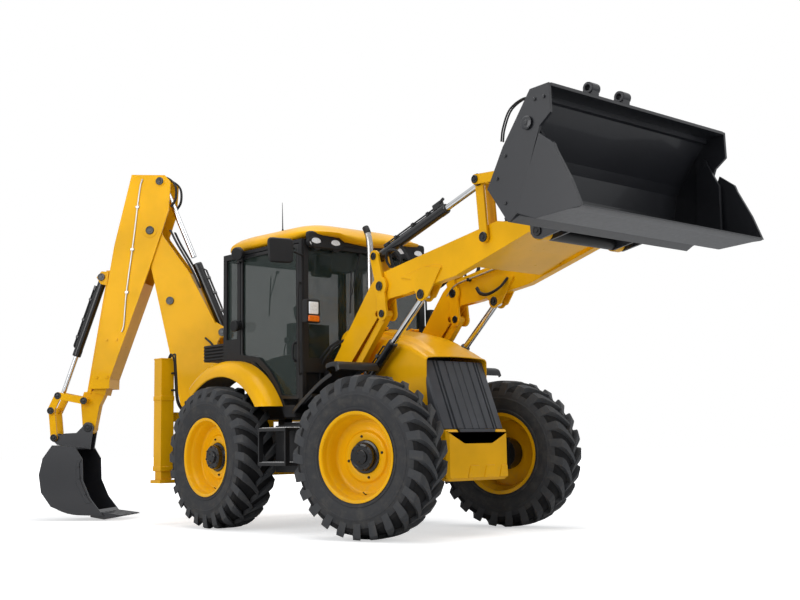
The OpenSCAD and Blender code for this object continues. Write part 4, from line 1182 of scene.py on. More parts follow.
@dataclass
class Nose:
    """Bonnet skin, slanted grille panel and the bumper weight."""

    half_w: float = 0.386
    low: float = 1.150
    back_x: float = 1.644
    front_x: float = 2.437
    front_lean: float = 0.085
    lip_z: float = 1.56
    skin: float = 0.008
    tops: tuple[Pair, ...] = ((1.644, 1.905), (1.85, 1.868), (2.05, 1.815), (2.20, 1.755),
                              (2.32, 1.682), (2.40, 1.618), (2.43, 1.590))
    grille_top: Pair = (2.402, 1.555)
    grille_slope: float = 0.404
    bumper_x: Pair = (2.4403, 2.680)
    bumper_z: Pair = (0.480, 0.930)

    def section(self, top: np.ndarray, grow: float, crown: float = 0.030) -> np.ndarray:
        """Half outlines of the bonnet across the machine, one row for each top height: up the side
        wall, round a quarter ellipse that shrinks towards the front, and over a crowned top, y from
        -half_w to 0.

        Args:
            top: the top heights, from the back to the front.
            grow: how far inside the skin it lies.
            crown: how much the top rises to the middle.

        Returns:
            Rows of (y, z) points.
        """
        share = np.linspace(0, 1, len(top))[:, None]
        r_y, r_z = 0.150 - 0.110 * share**1.5, 0.115 - 0.078 * share**1.5
        crown = crown * (1 - 0.6 * share)
        w = self.half_w - grow
        a = np.linspace(0, math.pi / 2, 10)[None]
        flat = np.linspace(0, 1, 17)[None, 1:]
        side = np.full((len(top), 2), -w)
        y = np.concatenate([side, -w + r_y * (1 - np.cos(a)), (-w + r_y) * (1 - flat)], 1)
        shoulder = (0.024 + 0.016 * share) * (1 - share**5)
        high = top[:, None] - grow - crown - shoulder
        raised = np.clip(((w - r_y) * flat - (w - r_y - 0.262)) / 0.035, 0, 1)
        deck = shoulder * raised**2 * (3 - 2 * raised)
        wall = np.concatenate([np.full_like(high, self.low), 0.5 * (self.low + high - r_z)], 1)
        over = high + crown * (1 - (1 - flat) ** 2) + deck
        z = np.concatenate([wall, high - r_z + r_z * np.sin(a), over], 1)
        return np.stack([y, z], -1)

    def bonnet(self) -> Form:
        """The bonnet as a closed shell: outer rows, and inner rows one skin inside. Its front edge
        leans with the grille: x runs from the hinge line to front_x - front_lean (z - low).

        Returns:
            The closed surface.
        """
        x, top = np.array(self.tops).T
        t = np.linspace(0, 1, 26)
        at_x = x[0] + (x[-1] - x[0]) * t
        top = np.interp(at_x, x, top)
        top = np.convolve(np.pad(top, 1, "edge"), [0.25, 0.5, 0.25], "valid")
        shells = []
        for grow in (0.0, self.skin):
            half = self.section(top, grow)
            ring = np.concatenate([half, half[:, -2::-1] * [-1, 1]], 1)
            lip = 0.024 * np.clip((ring[..., 1] - 1.50) / 0.03, 0, 1)
            over = np.minimum(ring[..., 1], self.lip_z) - self.low
            end = self.front_x - self.front_lean * over + lip
            fx = self.back_x + (end - self.back_x) * t[:, None]
            shells.append(np.concatenate([fx[..., None], ring], -1))
        return grid(np.concatenate([shells[0], shells[1][:, ::-1]], 1), wrap_columns=True, ends=True)

    def panel(self) -> list[Form]:
        """The grille: a plan profile of ribs and grooves carried down the slant from grille_top to
        the bumper, with a tongue that goes on to z 0.83 in the middle.

        Returns:
            The panel and its tongue.
        """
        half = [(0.0, 0.0), (0.030, 0.0), (0.034, -0.008), (0.046, -0.008), (0.050, 0.0),
                (0.128, -0.001), (0.132, -0.012), (0.150, -0.012), (0.154, -0.001), (0.222, -0.002),
                (0.228, -0.022), (0.240, -0.022), (0.246, -0.004), (0.262, -0.006), (0.268, -0.028),
                (0.276, -0.028), (0.284, -0.008), (0.340, -0.018), (0.370, -0.026),
                (0.3835, -0.045), (0.3835, -0.150)]
        full = np.array([(-y, f) for y, f in half[:0:-1]] + half)
        ring = np.vstack([full, full[::-1] * [0.95, 1] + [0, -0.030]])

        x0, z0 = self.grille_top

        def strip(z: np.ndarray) -> Form:
            """Rows down the slant; x grows by grille_slope for each metre below the grille's top."""
            points = np.zeros((len(z), len(ring), 3))
            points[..., 0] = (x0 + self.grille_slope * (z0 - z))[:, None] + ring[None, :, 1]
            points[..., 1] = ring[None, :, 0]
            points[..., 2] = z[:, None]
            return grid(points, wrap_columns=True, ends=True)

        z = np.linspace(1.553, 0.937, 16)
        tongue = [(-0.179, 0.834), (0.179, 0.834), (0.233, 0.934), (-0.233, 0.934)]
        return [strip(z), slab(tongue, 2.560, 2.674, Lay.FACE, 0.002)]

    def bumper(self) -> list[Form]:
        """The weight: an outline across the nose with a notch for the grille, and three pads low on
        its left.

        Returns:
            The weight and its pads.
        """
        (x0, x1), (z0, z1) = self.bumper_x, self.bumper_z
        w = self.half_w
        outline = [(-w, z0 + 0.03), (-w + 0.03, z0), (w - 0.03, z0), (w, z0 + 0.03), (w, z1 - 0.01),
                   (w - 0.02, z1), (0.235, z1), (0.180, 0.832), (-0.180, 0.832), (-0.235, z1),
                   (-w + 0.02, z1), (-w, z1 - 0.01)]
        forms = [slab(rounded(outline, 0.022, 5), x0, x1, Lay.FACE, 0.026)]
        for y0, y1 in ((-0.145, 0.008), (0.056, 0.202), (0.254, 0.368)):
            pad = [(y0, 0.502), (y1, 0.502), (y1 - 0.006, 0.615), (y0 + 0.034, 0.615)]
            forms.append(slab(rounded(pad, 0.012, 3), x1 - 0.004, x1 + 0.009, Lay.FACE, 0.007))
        return forms

    def build(self) -> None:
        """Makes the nose's pieces."""
        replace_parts(add("bonnet_skin", [self.bonnet()], YELLOW, "bonnet", sharp=40), "bonnet")
        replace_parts(add("grille_panel", self.panel(), GRILLE, "bonnet", sharp=25), "grille")
        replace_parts(add("bumper_weight", self.bumper(), YELLOW, "chassis", sharp=35), "bumper")


@dataclass
class Cab:
    """Roof, lamps, door trim, mirrors and the inside of the cab."""

    half_w: float = 0.800
    front: float = 1.150
    rear: float = -0.215
    head_z: float = 2.790
    floor_z: float = 1.080
    roof_x: float = 0.475
    roof_half: Pair = (0.795, 0.782)
    roof_rim_z: float = 2.868
    roof_rise: float = 0.158
    door_outline: tuple[Pair, ...] = ((0.100, 1.690), (0.100, 2.750), (1.090, 2.750),
                                      (1.090, 1.245), (0.735, 1.262), (0.601, 1.375),
                                      (0.433, 1.536), (0.250, 1.655))
    door_pane: tuple[Pair, ...] = ((0.134, 1.724), (0.134, 2.716), (1.056, 2.716), (1.056, 1.280),
                                   (0.750, 1.296), (0.626, 1.402), (0.457, 1.564), (0.264, 1.690))
    hinge_z: Pair = (2.004, 2.690)
    lamp_oval: Rgb = (1.0, 1.45, 0.84)
    front_lamps: tuple[float, ...] = (-0.668, -0.428, 0.428, 0.668)
    rear_lamps: Pair = (-0.560, 0.560)
    steering_r: float = 0.185

    def roof(self) -> Form:
        """A domed cap: rings of a squared oval about (roof_x, 0), rising as (1 - p^2.6)^0.62
        towards the middle, over an underside that is nearly flat.

        Returns:
            The closed surface.
        """
        a = np.linspace(0, 2 * math.pi, 96, endpoint=False)
        oval = np.stack([power(np.cos(a), 0.36), power(np.sin(a), 0.30)], -1)
        edge = [0.95, 0.98, 0.995, 1.0, 1.0, 0.985, 0.95, 0.7, 0.0]
        p = np.concatenate([np.linspace(0, 0.90, 12), edge])
        rise = (1 - np.minimum(p, 0.9985) ** 2.6) ** 0.62
        z = self.roof_rim_z + self.roof_rise * rise
        z[12:16] = [2.906, 2.888, 2.872, 2.856]
        z[16:] = [2.838, 2.822, 2.812, 2.806, 2.806]
        points = np.zeros((len(p), len(a), 3))
        points[..., 0] = self.roof_x + self.roof_half[0] * p[:, None] * oval[:, 0]
        points[..., 1] = self.roof_half[1] * p[:, None] * oval[:, 1]
        x = points[..., 0]
        drop = 0.030 * np.clip((x - 0.70) / 0.57, 0, 1) ** 2 - 0.014 * np.clip((0.6 - x) / 0.8, 0, 1)
        front = np.clip((x - 1.0) / 0.15, 0, 1)
        over_lamps = np.clip((np.abs(points[..., 1]) - 0.30) / 0.08, 0, 1)
        under = np.interp(np.arange(len(p)), [12, 16], [0, 1])[:, None]
        lift = 0.046 * under * front * (1 - 1.45 * over_lamps)
        points[..., 2] = z[:, None] - drop * (1 - under) - lift
        return grid(points, wrap_columns=True)

    def lamps(self) -> tuple[list[Form], list[Form], list[Form]]:
        """Round work lamps in the visor and at the rear: shells, bezels and lenses.

        Returns:
            Shells, bezels and lenses.
        """
        shell = [(0, -0.045), (0.045, -0.045), (0.066, -0.020), (0.070, 0.006), (0.066, 0.012),
                 (0, 0.010)]
        bezel = [(0.052, 0.010), (0.067, 0.010), (0.066, 0.020), (0.058, 0.024), (0.052, 0.020)]
        lens = [(0, 0.008), (0.054, 0.008), (0.053, 0.016), (0.036, 0.022), (0, 0.025)]
        shells, bezels, lenses = [], [], []
        spots = [(self.front + 0.030, y, self.head_z - 0.030, 1) for y in self.front_lamps]
        spots += [(self.rear - 0.020, y, self.head_z - 0.020, -1) for y in self.rear_lamps]
        for x, y, z, way in spots:
            place = Place.facing((x, y, z), (way, 0, -0.12))
            place = Place(place.origin, place.axes * self.lamp_oval)
            shells.append(turned(shell, 36).put(place))
            bezels.append(turned(bezel, 36, True).put(place))
            lenses.append(turned(lens, 36).put(place))
        return shells, bezels, lenses

    def visor(self) -> list[Form]:
        """The black housing under the roof's front edge, lower in its middle third.

        Returns:
            The surfaces.
        """
        outline = [(-0.765, 2.862), (-0.765, 2.782), (-0.70, 2.700), (-0.36, 2.704), (-0.32, 2.752),
                   (0.32, 2.752), (0.36, 2.704), (0.70, 2.700), (0.765, 2.782), (0.765, 2.862),
                   (0.40, 2.885), (-0.40, 2.885)]
        x = self.front
        return [slab(rounded(outline, 0.03, 4), x + 0.002, x + 0.052, Lay.FACE, 0.012)]

    def door(self) -> tuple[Form, Form]:
        """For the right side: the door's frame and its pane.

        Returns:
            The frame and the pane.
        """
        outer, inner = rounded(self.door_outline, 0.030, 5), rounded(self.door_pane, 0.040, 5)
        frame = framed(outer, inner, -self.half_w + 0.001, -self.half_w + 0.042, Lay.SIDE, 0.005)
        pane = slab(inset(inner, -0.004), -self.half_w + 0.018, -self.half_w + 0.024, Lay.SIDE, 0.001)
        return frame, pane

    def door_trim(self) -> tuple[list[Form], list[Form]]:
        """For one side: the seal round the door's glass and the rail by the front post, the pull
        handle, the lock's plate and the hinges' straps.

        Returns:
            The seal and the rail, then what is fixed to the door.
        """
        y = -(self.half_w + 0.001)
        around = bead(rounded(self.door_pane, 0.040, 5), y + 0.003, 0.005, 8)
        handle = curve([(1.052, y, 1.790), (1.050, y - 0.034, 1.770), (1.047, y - 0.040, 1.700),
                        (1.050, y - 0.034, 1.630), (1.052, y, 1.610)], 24)
        plate = [(1.028, 1.590), (1.078, 1.590), (1.078, 1.810), (1.028, 1.810)]
        lock = slab(rounded(plate, 0.014, 4), y - 0.005, y + 0.003)
        hinges = []
        for z in self.hinge_z:
            strap = [(0.092, z), (0.165, z), (0.165, z + 0.060), (0.092, z + 0.060)]
            hinges.append(slab(rounded(strap, 0.012, 3), y - 0.020, y + 0.003))
        rail = hose([(1.122, y + 0.012, 2.35), (1.128, y - 0.030, 2.33), (1.130, y - 0.034, 1.95),
                     (1.130, y - 0.030, 1.52), (1.124, y + 0.012, 1.50)], 28, 0.010)
        return [around, rail], [tube(handle, 0.011, 10), lock] + hinges

    def pods(self) -> list[Form]:
        """For the right side: the two rounded pods on the rear post, with their stalks.

        Returns:
            The surfaces.
        """
        y = -self.half_w
        upper = turned([(0, -0.05), (0.040, -0.045), (0.066, -0.010), (0.068, 0.026),
                        (0.060, 0.040), (0, 0.044)], 28)
        lower = turned([(0, -0.04), (0.036, -0.036), (0.056, -0.008), (0.058, 0.026),
                        (0.050, 0.036), (0, 0.038)], 28)
        return [upper.put(Place.facing((0.173, y - 0.075, 2.760), (0.35, -0.75, -0.25))),
                lower.put(Place.facing((0.121, y - 0.070, 2.024), (0.1, -0.9, -0.15))),
                hose([(0.130, y + 0.02, 2.775), (0.150, y - 0.03, 2.774),
                      (0.168, y - 0.055, 2.763)], 10, 0.014),
                hose([(0.110, y + 0.02, 2.055), (0.112, y - 0.03, 2.045),
                      (0.119, y - 0.055, 2.028)], 10, 0.014)]

    def mirror(self) -> tuple[list[Form], list[Form]]:
        """For one side: the mirror's shell and arm on the front post, and its glass.

        Returns:
            Shell and arm, then the glass.
        """
        y = -self.half_w + 0.03
        head = Place.facing((1.160, y - 0.300, 2.640), (-0.96, 0.20, -0.05))
        outer = [(-0.125, -0.120), (0.125, -0.120), (0.135, 0.120), (-0.135, 0.120)]
        inner = [(-0.114, -0.109), (0.114, -0.109), (0.123, 0.109), (-0.123, 0.109)]
        shell = slab(rounded(outer, 0.05, 5), -0.035, 0.0, Lay.TOP, 0.012)
        glass = slab(rounded(inner, 0.045, 5), 0.0, 0.003, Lay.TOP, 0.001)
        arm = hose([(1.135, y, 2.620), (1.165, y - 0.08, 2.630), (1.185, y - 0.20, 2.650),
                    (1.180, y - 0.29, 2.640)], 20, 0.009)
        return [shell.put(head), arm], [glass.put(head)]

    def indicator(self) -> tuple[list[Form], list[Form], list[Form]]:
        """For one side: the lamp cluster on its bracket: shell, clear lens and amber lens.

        Returns:
            Shell, clear lens and amber lens.
        """
        x, y, z = 1.300, -self.half_w + 0.010, 1.990

        def box(low: Rgb, high: Rgb, edge: float, round_by: float) -> Form:
            """A box between two corners that are measured from the cluster's place."""
            return brick(np.add((x, y, z), low), np.add((x, y, z), high), edge, round_by)

        shell = [box((-0.055, -0.088, -0.030), (0.020, 0.074, 0.190), 0.008, 0.012),
                 tube([(1.125, y + 0.02, z + 0.02), (x - 0.03, y + 0.01, z + 0.02)], 0.012, 8)]
        clear = [box((0.012, -0.062, 0.050), (0.030, 0.046, 0.166), 0.006, 0.006)]
        amber = [box((0.012, -0.070, -0.020), (0.032, 0.056, 0.036), 0.006, 0.006)]
        return shell, clear, amber

    def wipers(self) -> list[Form]:
        """Front and rear wipers with their blades and spindles.

        Returns:
            The surfaces.
        """
        forms = []
        for x, way, z0, z1 in ((self.front, 1, 2.690, 2.10), (self.rear, -1, 2.680, 2.20)):
            out, blade = x + way * 0.020, x + way * 0.004
            arm = [(out, -0.10, z0), (out + way * 0.006, -0.16, z0 - 0.2),
                   (out - way * 0.006, -0.20, z1 + 0.18)]
            forms += [tube([(x, -0.10, z0), (out + way * 0.012, -0.10, z0 - 0.004)], 0.016, 12),
                      hose(arm, 12, 0.006, 8),
                      tube([(blade, -0.215, z1), (blade, -0.195, z1 + 0.42)], 0.007, 8)]
        return forms

    def inside(self) -> list[tuple[str, list[Form], Finish]]:
        """What shows through the glass: seat base, steering wheel and column, consoles, levers,
        lining.

        Returns:
            The name, surfaces and finish of each piece.
        """
        f = self.floor_z
        ring = np.linspace(0, 2 * math.pi, 49)
        tilt = Place.facing((0.845, 0.0, f + 0.635), (-0.50, 0, 0.866))
        r = self.steering_r
        circle = np.stack([r * np.cos(ring), r * np.sin(ring), np.full(49, 0.02)], -1)
        wheel = [tube(circle, 0.014, 10).put(tilt), drum(0.040, -0.01, 0.03).put(tilt)]
        for a in (0.5, 2.6, 4.7):
            spoke = [(0, 0, 0.01), (0.18 * math.cos(a), 0.18 * math.sin(a), 0.02)]
            wheel.append(tube(spoke, 0.010, 8).put(tilt))
        post = [(0.96, 0, f + 0.04), (0.93, 0, f + 0.42), (0.85, 0, f + 0.63)]
        column = [tube(post, [0.075, 0.060, 0.035], 20),
                  brick((0.90, -0.20, f + 0.50), (1.02, 0.20, f + 0.60), 0.02, 0.04)]
        dash = [brick((1.00, -0.34, f + 0.04), (1.085, 0.34, f + 0.42), 0.012, 0.03)]
        console = [(0.02, f + 0.04), (0.64, f + 0.04), (0.66, f + 0.58), (0.56, f + 0.66),
                   (0.10, f + 0.62)]
        side = [slab(rounded(console, 0.05), -0.470, -0.330, Lay.SIDE, 0.015)]
        back = [brick((-0.10, -0.40, f + 0.04), (0.02, 0.40, f + 0.62), 0.015, 0.03)]
        base = [brick((0.26, -0.19, f + 0.041), (0.60, 0.19, f + 0.30), 0.02, 0.03)]
        knob = [(0, -0.03), (0.020, -0.025), (0.024, 0.0), (0.018, 0.028), (0, 0.034)]
        sticks = []
        for x, y, h in ((0.50, -0.40, 0.22), (0.42, -0.37, 0.18), (0.34, -0.43, 0.18)):
            path = [(x, y, f + 0.60), (x + 0.01, y, f + 0.60 + h * 0.6),
                    (x + 0.03, y + 0.01, f + 0.60 + h)]
            sticks.append(hose(path, 10, 0.007, 8))
            sticks.append(turned(knob, 14).put(Place.upright(x + 0.03, y + 0.01, f + 0.62 + h)))
        for y in (-0.10, 0.10):
            path = [(-0.02, y, f + 0.60), (0.00, y, f + 0.78), (-0.01, y, f + 0.86)]
            sticks.append(hose(path, 8, 0.008, 8))
        top = self.head_z
        lining = [brick((-0.10, -0.70, top - 0.060), (1.09, 0.70, top + 0.004), 0.01, 0.05)]
        radio = rounded([(-0.52, 2.47), (-0.28, 2.47), (-0.28, 2.69), (-0.52, 2.69)], 0.03)
        radio = [slab(radio, 0.905, 0.955, Lay.FACE, 0.01)]
        return [("steering_wheel", wheel, TRIM), ("steering_column", column, TRIM),
                ("dash_panel", dash, TRIM), ("side_console", side + back, TRIM),
                ("seat_base", base, TRIM), ("control_levers", sticks, SEAL),
                ("head_lining", lining, TRIM), ("cab_radio", radio, TRIM)]

    def cushions(self) -> None:
        """The seat: crowned cushions with pulled-in sides and sewn channels."""
        f = self.floor_z
        parts = {"seat_cushion": ((0.46, 0.0, f + 0.375), (0.26, 0.25, 0.075), (0, 0, 1)),
                 "seat_back": ((0.205, 0.0, f + 0.700), (0.30, 0.24, 0.062), (0.94, 0, 0.30)),
                 "head_rest": ((0.130, 0.0, f + 1.120), (0.095, 0.135, 0.045), (0.94, 0, 0.30))}
        for name, (middle, half, facing) in parts.items():
            z = np.array(facing) / np.linalg.norm(facing)
            x = np.cross((0, 1.0, 0), z)
            pad = padded_form(half).put(Place(np.array(middle), np.array([x, (0, 1.0, 0), z])))
            piece = add(name, [pad], SEAT_CLOTH, "chassis", sharp=80)

    def build(self) -> None:
        """Makes the cab's pieces."""
        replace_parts(add("roof_cap", [self.roof()], YELLOW, "chassis", sharp=45), "cab_roof")
        shells, bezels, lenses = self.lamps()
        add("visor", self.visor() + shells, TRIM, "chassis")
        add("lamp_bezels", bezels, TRIM, "chassis")
        add("lamp_lenses", lenses, CLEAR_LENS, "chassis")
        fixed, moving = self.door_trim()
        leaf, pane = self.door()
        for side, turn in (("right", Form.same), ("left", mirrored)):
            body = f"door_{side}"
            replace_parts(add(f"door_frame_{side}", [turn(leaf)], BLACK, body, sharp=35), body)
            add(f"door_glass_{side}", [turn(pane)], GLASS, body)
            add(f"door_seal_{side}", [turn(fixed[0])], SEAL, body)
            add(f"door_pull_{side}", [turn(f) for f in moving], TRIM, body)
            add(f"grab_rail_{side}", [turn(fixed[1])], SEAL, "chassis")
        add("post_pods", both_sides(self.pods()), TRIM, "chassis")
        shell, glass = self.mirror()
        add("mirror_shells", both_sides(shell), TRIM, "chassis")
        add("mirror_glass", both_sides(glass), MIRROR, "chassis")
        shell, clear, amber = self.indicator()
        add("indicator_shells", both_sides(shell), TRIM, "chassis")
        add("side_lamp_lenses", both_sides(clear), CLEAR_LENS, "chassis")
        add("indicator_lenses", both_sides(amber), AMBER_LENS, "chassis")
        add("wipers", self.wipers(), SEAL, "chassis")
        mast = tube([(0.56, -0.60, 2.965), (0.56, -0.60, 2.99), (0.555, -0.60, 3.26)],
                    [0.014, 0.006, 0.0022], 8)
        add("aerial", [mast], SEAL, "chassis")
        for name, forms, finish in self.inside():
            add(name, forms, finish, "chassis")
        self.cushions()


def padded_form(half: Rgb) -> Form:
    """A stuffed pad: points of a squared ball (cos^0.35, sin^0.35), with its top crowned, its sides
    pulled in between the corners, and three sewn channels across.

    Args:
        half: half its length, width and height.

    Returns:
        The closed surface.
    """
    u = np.linspace(-math.pi / 2, math.pi / 2, 25)[:, None]
    v = np.linspace(0, 2 * math.pi, 64, endpoint=False)[None]

    x = half[0] * power(np.cos(u), 0.35) * power(np.cos(v), 0.45)
    y = half[1] * power(np.cos(u), 0.35) * power(np.sin(v), 0.45)
    z = half[2] * power(np.sin(u), 0.8) * np.ones_like(v)
    mid_x, mid_y = np.cos(np.pi * x / (2 * half[0])), np.cos(np.pi * y / (2 * half[1]))
    pull = 1 - 0.05 * (mid_x + mid_y) * np.abs(np.cos(u)) ** 3
    crown = 1 + 0.18 * mid_x * mid_y
    seam = sum(np.exp(-((x / half[0] - s) / 0.035) ** 2) for s in (-0.45, 0.0, 0.45))
    seam = seam * (np.abs(y) < 0.72 * half[1])
    z = np.where(z > 0, z * crown * (1 - 0.16 * seam), z)
    return grid(np.stack([x * pull, y * pull, z], -1), wrap_columns=True)


@dataclass
class Body:
    """Fenders with their brackets, steps, exhaust and side louvres."""

    step_x: Pair = (0.880, 1.320)
    step_z: tuple[float, ...] = (0.627, 0.945)
    fender_cut: float = 1.187
    stack: Pair = (1.550, -0.285)
    stack_r: float = 0.031
    fender_line: tuple[Pair, ...] = ((1.050, 1.120), (1.075, 1.155), (1.180, 1.225), (1.480, 1.400),
                                     (1.760, 1.508), (1.900, 1.538), (1.965, 1.522), (1.992, 1.470))

    def steps(self) -> tuple[list[Form], list[Form]]:
        """For one side: the steps' treads, and the raised teeth on them.

        Returns:
            The treads and their teeth.
        """
        (x0, x1), plates, teeth = self.step_x, [], []
        tooth = [(0, 0), (0.013, 0), (0.009, 0.005), (0, 0.005)]
        for z in self.step_z:
            low, high = (x0 + 0.01, -1.125, z + 0.026), (x1 - 0.01, -0.915, z + 0.032)
            plates.append(brick(low, high, 0.002, 0.01))
            for x in np.linspace(x0 + 0.04, x1 - 0.04, 11):
                for y in (-1.095, -1.045, -0.995, -0.945):
                    teeth.append(turned(tooth, 8).put(Place.upright(x, y, z + 0.032)))
        return plates, teeth

    def exhaust(self) -> tuple[list[Form], list[Form]]:
        """The stack: silencer base, polished pipe with a bend, and its black tip.

        Returns:
            The pipe, then the tip and its clamp.
        """
        x, y = self.stack
        pipe = curve([(x, y, 1.64), (x, y, 2.0), (x, y, 2.5), (x, y, 2.68), (x - 0.010, y, 2.77),
                      (x - 0.034, y, 2.85)], 40)
        tip = curve([(x - 0.028, y, 2.835), (x - 0.044, y, 2.870), (x - 0.064, y, 2.900)], 12)
        clamp = drum(0.044, 1.72, 1.76).put(Place.upright(x, y, 0.0))
        return [tube(pipe, self.stack_r, 28)], [tube(tip, 0.033, 24), clamp]

    def louvres(self) -> list[Form]:
        """For one side: slats on the outer and rear faces of the cover behind the door.

        Returns:
            The surfaces.
        """
        forms = []
        for z in np.arange(1.712, 1.865, 0.034):
            blade = [(-0.802, z), (-0.786, z - 0.004), (-0.786, z + 0.020), (-0.792, z + 0.022)]
            forms.append(slab(blade, -0.596, -0.106, Lay.FACE, 0.002))
            back = [(-0.612, z), (-0.598, z - 0.004), (-0.598, z + 0.020), (-0.603, z + 0.022)]
            forms.append(slab(back, -0.786, -0.566, Lay.SIDE, 0.002))
        return forms

    def fender(self) -> Form:
        """For one side: the front fender, a section with turned-down edges carried along a smooth
        line.

        Returns:
            The closed surface.
        """
        line = curve(self.fender_line, 60)
        along = np.gradient(line, axis=0)
        along /= np.linalg.norm(along, axis=1, keepdims=True)
        normal = np.stack([-along[:, 1], along[:, 0]], -1)
        section = np.array([(-0.852, -0.034), (-0.850, -0.004), (-0.842, 0.009), (-0.820, 0.012),
                            (-0.590, 0.012), (-0.566, 0.009), (-0.558, -0.004), (-0.556, -0.034),
                            (-0.563, -0.034), (-0.566, -0.008), (-0.590, -0.002), (-0.820, -0.002),
                            (-0.842, -0.008), (-0.845, -0.034)])
        x, z = (line[:, None, :] + section[None, :, 1:] * normal[:, None, :]).transpose(2, 0, 1)
        wide = 0.190 * np.clip((line[:, None, 0] - 1.66) / 0.14, 0, 1)
        y = section[None, :, 0] - wide * np.clip((-0.60 - section[None, :, 0]) / 0.20, 0, 1)
        return grid(np.stack([x, y, z], -1), wrap_columns=True, ends=True)

    def arch(self, section: Any, start: float = 130.0) -> Form:
        """A section of (y, radius) carried round the rear axle from an angle at the back to a level
        cut above the step: a point at radius r ends at the angle arcsin((cut - axle) / r).

        Args:
            section: the pairs of y and radius.
            start: the angle at the back, in degrees.

        Returns:
            The closed surface.
        """
        y, r = np.asarray(section, float).T
        end = np.arcsin((self.fender_cut - AXLE_Z) / r)
        a = math.radians(start) + (end - math.radians(start)) * np.linspace(0, 1, 48)[:, None]
        points = np.stack([r * np.cos(a), np.broadcast_to(y, a.shape), AXLE_Z + r * np.sin(a)], -1)
        return grid(points, wrap_columns=True, ends=True)

    def rear_fender(self) -> tuple[Form, Form]:
        """For one side: the rear fender's rounded shell, and the dark liner below it.

        Returns:
            The shell and the liner.
        """
        outer = [(-0.992, 0.800), (-1.002, 0.806), (-1.004, 0.850), (-0.996, 0.890),
                 (-0.972, 0.928), (-0.936, 0.954), (-0.890, 0.966), (-0.806, 0.968)]
        inner = [(-0.806, 0.952), (-0.886, 0.950), (-0.928, 0.939), (-0.958, 0.917),
                 (-0.980, 0.884), (-0.988, 0.850), (-0.986, 0.806)]
        liner = [(-0.980, 0.808), (-0.620, 0.808), (-0.620, 0.822), (-0.980, 0.822)]
        return self.arch(outer + inner), self.arch(liner)

    def brackets(self) -> list[Form]:
        """For one side: the fender's arm to the loader's tower and the ribs below it."""
        rib = [(1.20, 1.215), (1.34, 1.290), (1.34, 1.262), (1.20, 1.190)]
        return [brick((1.218, -0.565, 1.228), (1.327, -0.5375, 1.268), 0.004),
                slab(rib, -0.840, -0.5375, Lay.SIDE, 0.003)]

    def build(self) -> None:
        """Makes the body's pieces."""
        plates, teeth = self.steps()
        add("step_treads", both_sides(plates), TREAD, "chassis")
        add("step_teeth", both_sides(teeth), TREAD, "chassis")
        pipe, black = self.exhaust()
        stack = add("exhaust_stack", pipe, STEEL, "chassis")
        tip = add("exhaust_tip", black, SEAL, "chassis")
        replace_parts(stack, "exhaust")
        log.info("%s and %s stand for the exhaust", stack.name, tip.name)
        add("side_louvres", both_sides(self.louvres()), TRIM, "chassis")
        shell, liner = self.rear_fender()
        skins = add("rear_fender_skins", both_sides([shell]), YELLOW, "chassis", sharp=35)
        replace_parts(skins, "rear_fenders")
        add("rear_fender_liners", both_sides([liner]), SEAL, "chassis", sharp=35)
        front = both_sides([self.fender()] + self.brackets())
        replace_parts(add("fender_skins", front, BLACK, "chassis", sharp=35), "front_fenders")


@dataclass
class Pin:
    """What shows of one hinge pin at both of its ends: a collar, a cap and its keeper bolt."""

    at: Pair
    radius: float
    ends: Pair

    def forms(self) -> list[Form]:
        """Collars and caps at both ends, outside the plates.

        Returns:
            The surfaces.
        """
        forms = []
        (x, z), r = self.at, self.radius
        collar = [(0, -0.002), (r * 1.45, -0.002), (r * 1.45, 0.005), (r * 1.3, 0.008),
                  (r * 1.02, 0.008), (r * 0.96, 0.003), (r * 0.62, 0.003), (r * 0.55, 0.010),
                  (0, 0.011)]
        low, high = sorted(self.ends)
        for y, way in ((low, -1), (high, 1)):
            forms.append(turned(collar, 28).put(Place.outward(x, y, z, way)))
            keeper = Place.outward(x, y + way * 0.008, z + r * 1.15, way)
            forms.append(nut(r * 0.22, 0.006).put(keeper))
        return forms


